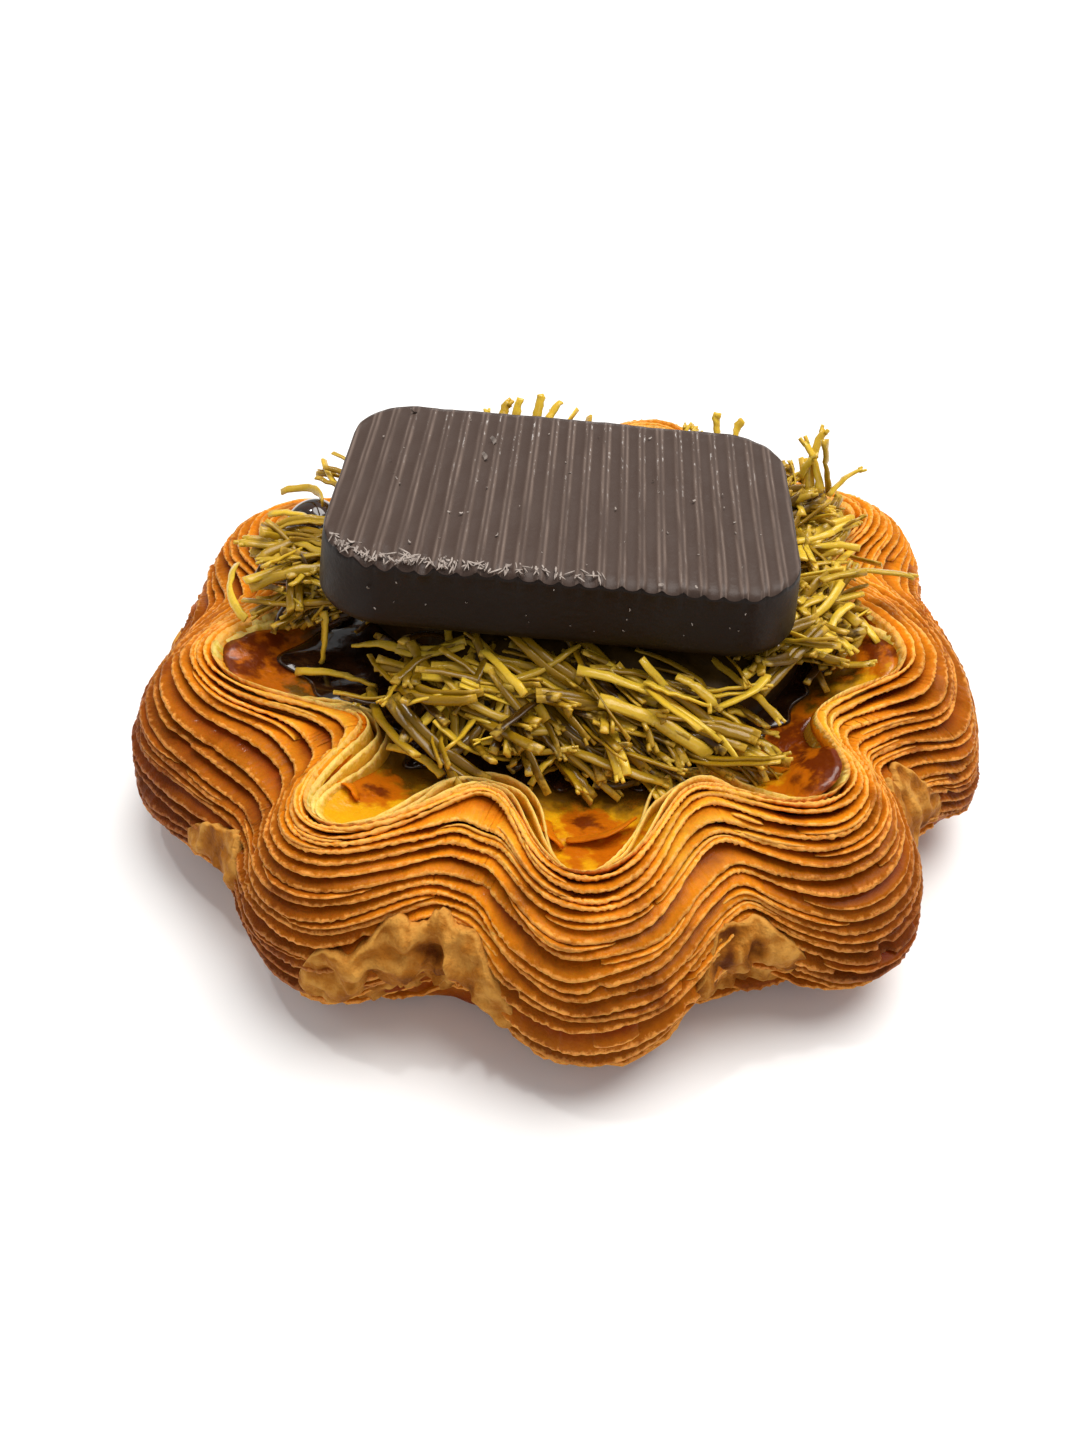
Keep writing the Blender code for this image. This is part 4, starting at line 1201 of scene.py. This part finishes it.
def heap_core():
    """The dark inside of the heap, seen only between the shreds; its near-black colour is painted shade."""
    shader = Shader("shreds_shade", Roughness=0.6, Specular_IOR_Level=0.2)
    shader.colour(shader.mix(shader.noise(1.0), (0.010, 0.005, 0.001), (0.08, 0.040, 0.003)))
    builder = Builder("shreds_core")
    angle = np.linspace(0, TAU, 240, endpoint=False)
    across = np.where(np.sin(angle) > 0, CORE_BACK, CORE_FRONT)
    reach = 1 / np.hypot(np.cos(angle) / CORE_SIDE, np.sin(angle) / across)
    at, half, share = CORE_NOTCH
    reach = reach * (1 - share * np.exp(-(((angle - at) / half) ** 2)))
    rows = [polar(reach * 0.9, angle, 16.9), polar(reach, angle, 17.3)]
    for share in (1.0, 0.97, 0.92, 0.86, 0.79, 0.7, 0.55, 0.3):
        points = polar(reach * share, angle, 0.0)
        points[:, 2] = np.maximum(heap_height(points[:, 0], points[:, 1]) - CORE_DEPTH, LOWEST_SHRED)
        points[:, 2] += 0.6 * bumps(points, 2.2, 41) + 0.4 * bumps(points, 1.1, 42)
        rows.append(points)
    builder.grid(np.array(rows), caps=(0, -1))
    return builder.build(shader.material, node="kataifi")


# How round a shred's section is, from 0 for a box to 1 for an ellipse, and the points round it.
SECTION_ROUNDNESS, SECTION_SIDES = 0.55, 6


def tube(builder, path, widths, thick, twist, tone, tips):
    """A flattened shred along a path, closed at both ends. twist is its first turn and how much it
    turns along the path."""
    along = unit(np.gradient(path, axis=0))
    side = unit(np.cross(along, (0.0, 0.0, 1.0)))
    up = np.cross(side, along)
    angle = twist[0] + twist[1] * np.linspace(0, 1, len(path))[:, None]
    across = side * np.cos(angle) + up * np.sin(angle)
    over = up * np.cos(angle) - side * np.sin(angle)
    corner = TAU * np.arange(SECTION_SIDES) / SECTION_SIDES
    level, rise = (np.copysign(np.abs(v) ** SECTION_ROUNDNESS, v) for v in (np.cos(corner), np.sin(corner)))
    rows = path[:, None] + across[:, None] * (np.outer(widths, level) / 2)[..., None]
    rows = rows + over[:, None] * (rise * thick / 2)[:, None]
    builder.grid(rows, caps=(0, -1), tone=tone, tip=np.asarray(tips)[:, None])


RIM_TURNS = turns(720)
RIM_ANGLES = np.unwrap(flower_angle(RIM_TURNS, 0.0))
RIM_RADII = rim_radius(RIM_TURNS)
# No shred lies lower than this, on the sauce and the custard.
LOWEST_SHRED = 17.4


def clear(points, room):
    """Whether all points stay clear of the bar, the shell and the filling."""
    local = to_bar(points)
    beyond_x, beyond_y = np.abs(local[:, 0]) - BAR_LENGTH / 2, np.abs(local[:, 1]) - BAR_DEPTH / 2
    near = np.maximum(beyond_x, beyond_y) - BAR_DRAFT < room
    if (near & (local[:, 2] > -BAR_THICKNESS - room)).any():
        return False
    radius = np.hypot(points[:, 0], points[:, 1])
    angle = np.arctan2(points[:, 1], points[:, 0])
    rim = np.interp(np.mod(angle - RIM_ANGLES[0], TAU), RIM_ANGLES - RIM_ANGLES[0], RIM_RADII)
    low = (points[:, 2] < LOBE_RIM_HEIGHT + room) & (radius > rim - room)
    return not low.any() and points[:, 2].min() > LOWEST_SHRED


# Zones of shreds: centre x, y, spread x, y, lift, yaw, its scatter, pitch, its scatter, shortest,
# longest, tone and count. Lengths are in mm and angles in degrees: yaw is in plan, 0 along +X, and a
# positive pitch raises the far end.
# The low zones under the bar's edges have low tones, as painted shade.
ZONES = (
    (2.5, -18.0, 6.5, 2.4, -0.2, -36, 24, -12, 12, 9, 17, 0.45, 84),
    (10.5, -18.2, 3.2, 2.0, -0.3, -27, 18, -8, 10, 9, 15, 0.50, 44),
    (-9.0, -17.0, 3.8, 2.4, -0.4, -62, 45, -8, 16, 8, 15, 0.42, 36),
    (-17.5, -12.5, 2.8, 2.0, 0.0, -20, 45, 0, 10, 7, 12, 0.35, 12),
    (-3.0, -15.0, 9.0, 0.7, -0.9, -25, 30, -4, 8, 7, 13, 0.35, 28),
    (-29.5, 2.5, 2.4, 3.4, 0.0, 150, 45, 2, 12, 7, 11, 0.50, 50),
    (-27.6, -3.6, 2.8, 1.0, -1.2, 235, 40, -22, 14, 5, 8, 0.45, 36),
    (-27.0, 13.0, 1.6, 2.4, -0.8, 120, 50, 2, 10, 5, 8, 0.55, 12),
    (-8.0, 19.5, 6.5, 3.2, 0.2, 60, 60, 2, 10, 8, 14, 0.55, 90),
    (10.0, 19.0, 8.0, 3.2, 0.3, 40, 60, 2, 10, 8, 14, 0.55, 100),
    (-4.0, 25.0, 8.0, 1.8, -0.2, 80, 50, 10, 14, 6, 11, 0.60, 30),
    (16.0, 24.5, 6.0, 1.8, -0.2, 70, 50, 10, 14, 6, 11, 0.60, 26),
    (2.0, 25.8, 11.0, 1.0, -3.2, 15, 40, -8, 14, 6, 11, 0.42, 44),
    (2.0, 26.6, 10.0, 0.8, -6.0, 15, 40, -8, 14, 6, 10, 0.34, 40),
    (26.8, 16.0, 2.2, 4.6, 0.0, 60, 50, 8, 18, 6, 12, 0.62, 38),
    (27.5, 6.0, 2.8, 4.2, -0.1, 20, 50, 2, 14, 8, 14, 0.60, 54),
    (26.0, -3.0, 2.2, 3.0, -0.3, 62, 40, 4, 14, 7, 12, 0.58, 42),
    (21.5, -10.0, 2.8, 2.2, -0.3, 45, 45, 4, 14, 6, 11, 0.42, 28),
    (0.5, -22.4, 4.0, 1.2, -1.6, 20, 60, -4, 12, 4, 6.5, 0.35, 16),
)
# Single shreds on top of the heap: start, end, sideways bend and width.
SINGLE_SHREDS = (
    ((-26.5, -4.5, 24.0), (-27.0, -7.0, 18.9), 0.3, 1.3),
    ((-29.5, -8.5, 19.0), (-20.5, -12.0, 20.0), 0.5, 1.2),
    ((-13.5, -14.5, 25.0), (-6.5, -19.5, 22.5), -1.3, 1.1),
    ((-9.0, -15.0, 25.5), (-3.0, -19.5, 22.5), 0.9, 1.4),
    ((-7.0, -17.0, 23.5), (-11.0, -21.0, 19.5), 0.4, 1.2),
    ((-10.5, -20.5, 19.8), (-7.0, -20.5, 20.5), 0.2, 1.0),
    ((-12.0, -16.0, 24.5), (-17.0, -20.5, 20.5), 0.7, 1.8),
    ((-12.5, -17.0, 22.5), (-12.0, -21.0, 19.2), 0.3, 1.1),
    ((-23.0, -8.5, 22.5), (-17.5, -10.5, 23.5), 0.5, 1.3),
    ((-19.5, -12.0, 22.5), (-12.5, -15.5, 24.5), -0.6, 1.3),
    ((-23.0, -15.0, 18.9), (-20.5, -12.0, 19.4), 0.3, 1.0),
    ((-18.5, -20.0, 19.5), (-13.0, -23.5, 19.0), 0.5, 1.2),
    ((-4.5, -24.5, 18.8), (-1.5, -21.5, 20.5), 0.2, 1.1),
    ((0.0, -16.0, 26.0), (13.5, -22.0, 22.3), 1.4, 1.3),
    ((2.0, -19.0, 24.8), (12.5, -22.5, 20.8), 0.7, 1.8),
    ((6.5, -17.0, 25.3), (12.5, -19.0, 24.0), -0.4, 1.3),
    ((9.5, -16.5, 25.5), (13.0, -19.0, 24.0), 0.4, 1.2),
    ((18.5, -15.5, 24.8), (13.0, -18.5, 23.0), 0.9, 1.4),
    ((14.5, -18.5, 22.8), (18.0, -18.5, 21.2), 0.2, 1.1),
    ((14.5, -20.5, 21.0), (19.5, -22.0, 20.2), 0.5, 1.2),
    ((-34.0, 15.0, 26.0), (-28.0, 9.5, 28.0), 1.8, 1.2),
    ((-34.0, 9.0, 26.9), (-28.0, 6.5, 27.3), 0.6, 1.2),
    ((-37.0, 3.0, 24.5), (-34.5, -5.5, 23.6), -1.2, 1.2),
    ((-33.5, -1.5, 24.8), (-28.5, -5.5, 25.0), 0.6, 1.2),
    ((-34.8, 6.5, 25.0), (-28.5, 3.0, 26.6), 0.8, 1.3),
    ((-6.5, 21.5, 29.3), (-5.9, 24.5, 32.8), 0.3, 1.2),
    ((-4.8, 21.5, 29.3), (-3.6, 24.5, 33.3), -0.3, 1.3),
    ((-3.2, 22.0, 29.3), (-1.2, 25.0, 32.0), 0.3, 1.2),
    ((-8.4, 22.5, 29.0), (-7.4, 25.5, 31.6), 0.3, 1.2),
    ((17.4, 19.5, 29.0), (17.0, 21.3, 32.6), 0.3, 1.3),
    ((19.2, 19.5, 29.0), (20.2, 21.8, 31.4), 0.3, 1.2),
    ((27.5, 14.0, 26.6), (29.2, 19.0, 31.6), 0.5, 1.4),
    ((29.5, 13.0, 26.6), (33.2, 14.5, 29.3), 0.4, 1.3),
    ((28.5, 13.5, 26.8), (26.8, 17.5, 31.0), -0.4, 1.2),
    ((30.0, 14.5, 26.0), (28.5, 15.5, 32.5), 0.4, 1.4),
    ((26.5, 15.5, 27.5), (28.0, 15.5, 30.5), 0.3, 1.1),
    ((26.0, -2.0, 26.0), (36.5, 0.0, 25.0), 1.0, 1.2),
    ((26.0, -8.0, 23.5), (29.0, -4.5, 24.8), 0.4, 1.2),
    ((23.5, -9.0, 24.5), (28.0, -10.5, 23.8), 0.6, 1.3),
)
# How far the single shreds bow up, in mm.
SINGLE_RISE = 0.3
# Where the rows of points lie along a shred, from its start to its end.
SHRED_SHARES = np.linspace(0, 1, 11)
# Shares of the shreds that end in a split and that have a second shred stuck to their side.
SPLIT_SHARE, TWIN_SHARE = 0.22, 0.2


def bent_path(draw, start, end, bend, rise):
    """An uneven path between two points: bowed up by rise, and sideways by bend with a kink in it."""
    along = end - start
    side = unit(np.cross((0.0, 0.0, 1.0), along))
    at = draw.uniform(0.3, 0.7)
    kink = np.minimum(SHRED_SHARES / at, (1 - SHRED_SHARES) / (1 - at))
    bow = 4 * SHRED_SHARES * (1 - SHRED_SHARES)
    path = start + np.outer(SHRED_SHARES, along) + np.outer((0.75 * bow + 0.25 * kink) * bend, side)
    path = path + np.outer(bow * rise, (0.0, 0.0, 1.0))
    return path + np.array([[draw.gauss(0, 0.045) for _ in range(3)] for _ in SHRED_SHARES])


def split_end(builder, draw, path, width, thick, twist, shade):
    """A shred's end split into two short square prongs."""
    ahead = unit(path[-1] - path[-2])
    across = unit(np.cross(ahead, (0.0, 0.0, 1.0)))
    for branch in (-1, 1):
        reach = draw.uniform(0.5, 1.1)
        start = path[-1] - ahead * 0.4 + across * branch * width * 0.26
        lean = across * branch * draw.uniform(0.02, 0.25) + np.array((0, 0, draw.gauss(0, 0.12)))
        aim = unit(ahead + lean)
        prong = np.array([start + aim * reach * share for share in (0.0, 0.4, 0.8, 1.0)])
        if clear(prong, 0.4):
            taper = width * np.array((0.50, 0.48, 0.46, 0.44))
            tube(builder, prong, taper, thick * 0.9, twist, shade, (0.6, 0.9, 1, 1))


def lay_shred(builder, draw, path, width, shade):
    """One shred along a path. shade is its tone, from 0 dark to 1 pale."""
    widths = np.array([width * draw.uniform(0.86, 1.12) for _ in SHRED_SHARES])
    thick = width * draw.uniform(0.30, 0.48)
    twist = (draw.uniform(-0.6, 0.6), draw.gauss(0, 0.8))
    tube(builder, path, widths, thick, twist, shade, np.abs(SHRED_SHARES * 2 - 1) ** 3)
    if draw.random() < SPLIT_SHARE:
        split_end(builder, draw, path, width, thick, (sum(twist), 0.2), shade)


# Places that the scattered shreds leave in view: the blob, the sauce at the front left and the
# custard slope at the front right, as centre x, y and reach in x, y.
BARE_PLACES = ((-30.6, 10.3, 4.4, 4.9), (-27.0, -10.6, 6.3, 5.0), (23.5, -17.5, 5.0, 4.6))
# How far from the tart's middle the scattered shreds reach, in mm.
HEAP_REACH = 36.0
# How many places are tried for a scattered shred, and the lowest middle of one.
SHRED_TRIES, LOWEST_MIDDLE = 40, 18.3


def off_bare_places(path):
    """Whether a path keeps off the bare places and within the heap's reach."""
    for x, y, reach_x, reach_y in BARE_PLACES:
        if (np.hypot((path[:, 0] - x) / reach_x, (path[:, 1] - y) / reach_y) < 1).any():
            return False
    return np.hypot(path[:, 0], path[:, 1]).max() < HEAP_REACH


def scatter_shred(builder, draw, zone):
    """One shred by a zone's rule, or none where no place is free."""
    x, y, spread_x, spread_y, lift, yaw, yaw_spread, pitch, pitch_spread, short, long, tone, _ = zone
    for _ in range(SHRED_TRIES):
        at = np.array((draw.gauss(x, spread_x), draw.gauss(y, spread_y)))
        length = draw.uniform(short, long)
        heading = math.radians(draw.gauss(yaw, yaw_spread))
        climb = math.radians(draw.gauss(pitch, pitch_spread))
        rise = draw.uniform(-1.4, 0.5)
        middle = np.array((*at, max(float(heap_height(*at)) + lift + rise, LOWEST_MIDDLE)))
        level = math.cos(climb)
        way = np.array((math.cos(heading) * level, math.sin(heading) * level, math.sin(climb)))
        half = way * length / 2
        bend, bow = draw.gauss(0, 0.10) * length, draw.gauss(0.0, 0.05) * length
        path = bent_path(draw, middle - half, middle + half, bend, bow)
        if clear(path, 0.55) and off_bare_places(path):
            break
    else:
        return
    width = draw.uniform(0.68, 1.12)
    # Shreds set lower in the heap get a darker tone, as painted shade.
    shade = min(max(draw.gauss(tone + 0.28 * (rise + 0.4), 0.18), 0.0), 1.0)
    lay_shred(builder, draw, path, width, shade)
    if draw.random() < TWIN_SHARE:
        across = unit(np.cross(path[-1] - path[0], (0.0, 0.0, 1.0)))
        twin = path + across * width * 0.92
        if clear(twin, 0.5):
            lay_shred(builder, draw, twin, width * 0.9, shade)


def shreds():
    """The loose shreds, in zones first and then singly."""
    builder = Builder("shreds_strands", ("tone", "tip"))
    draw = random.Random(17)
    for zone in ZONES:
        for _ in range(zone[-1]):
            scatter_shred(builder, draw, zone)
    for start, end, bend, width in SINGLE_SHREDS:
        path = bent_path(draw, np.array(start), np.array(end), bend, SINGLE_RISE)
        # Single shreds lie on top of the heap and get pale tones, as painted light.
        lay_shred(builder, draw, path, width * 0.82, draw.uniform(0.7, 1.0))
    return builder.build(shred_material())


# --- Floor, light and camera ----------------------------------------------------------------


# Half the floor's width, in metres.
FLOOR_HALF = 3.0
WORLD_STRENGTH = 0.42
# Lamps, in metres and watts: name, place, the height that they aim at, size, power and colour.
LAMPS = (
    ("key", (0.44, 0.42, 1.55), 0.02, 1.4, 32.0, (1.0, 0.98, 0.95)),
    ("left", (-1.1, 0.35, 0.9), 0.02, 0.6, 0.8, (1.0, 0.98, 0.96)),
    ("sparkle", (-0.35, 0.30, 1.3), 0.02, 0.08, 2.2, (1.0, 0.99, 0.97)),
    ("front", (0.2, -1.1, 1.2), 0.015, 0.5, 1.2, (1.0, 0.99, 0.97)),
)


def pale_floor():
    """The white surface that the tart stands on, as stage."""
    mesh = bpy.data.meshes.new("floor")
    corners = [(x * FLOOR_HALF, y * FLOOR_HALF, 0) for x, y in ((-1, -1), (1, -1), (1, 1), (-1, 1))]
    mesh.from_pydata(corners, [], [(0, 1, 2, 3)])
    floor = bpy.data.objects.new("floor", mesh)
    bpy.context.scene.collection.objects.link(floor)
    mesh.materials.append(Shader("pale_floor", Roughness=0.6, Base_Color=(0.93, 0.93, 0.93, 1.0)).material)


def lights():
    """The even white surroundings and the lamps, all aimed at the tart."""
    world = bpy.data.worlds.new("studio")
    world.use_nodes = True
    world.node_tree.nodes["Background"].inputs["Color"].default_value = (1.0, 1.0, 1.0, 1.0)
    world.node_tree.nodes["Background"].inputs["Strength"].default_value = WORLD_STRENGTH
    bpy.context.scene.world = world
    for name, place, aim_height, size, power, colour in LAMPS:
        light = bpy.data.lights.new(name, "AREA")
        light.shape = "DISK"
        light.size = size
        light.energy = power
        light.color = colour
        holder = bpy.data.objects.new(name, light)
        holder.location = place
        aim = Vector((0, 0, aim_height)) - Vector(place)
        holder.rotation_euler = aim.to_track_quat("-Z", "Y").to_euler()
        bpy.context.scene.collection.objects.link(holder)


# The photo's camera, fitted to the flower's outline: tilt below level in degrees, place in mm and
# focal length in image heights.
CAMERA_TILT = 45.03
CAMERA_PLACE = (-3.34, -93.34, 96.01)
CAMERA_FOCAL = 1080 / 1448
SENSOR = 36.0


def camera():
    """The photo's camera."""
    lens = bpy.data.cameras.new("camera")
    lens.sensor_fit = "AUTO"
    lens.sensor_width = SENSOR
    lens.lens = SENSOR * CAMERA_FOCAL
    lens.clip_start = 0.005
    lens.clip_end = 20.0
    holder = bpy.data.objects.new("camera", lens)
    holder.location = Vector(CAMERA_PLACE) * MM
    holder.rotation_euler = (math.radians(90 - CAMERA_TILT), 0, 0)
    bpy.context.scene.collection.objects.link(holder)
    bpy.context.scene.camera = holder


bpy.context.scene.view_settings.view_transform = "Standard"
camera()
pale_floor()
lights()
pastry()
custard()
sauce()
chocolate_bar()
shavings()
heap_core()
shreds()
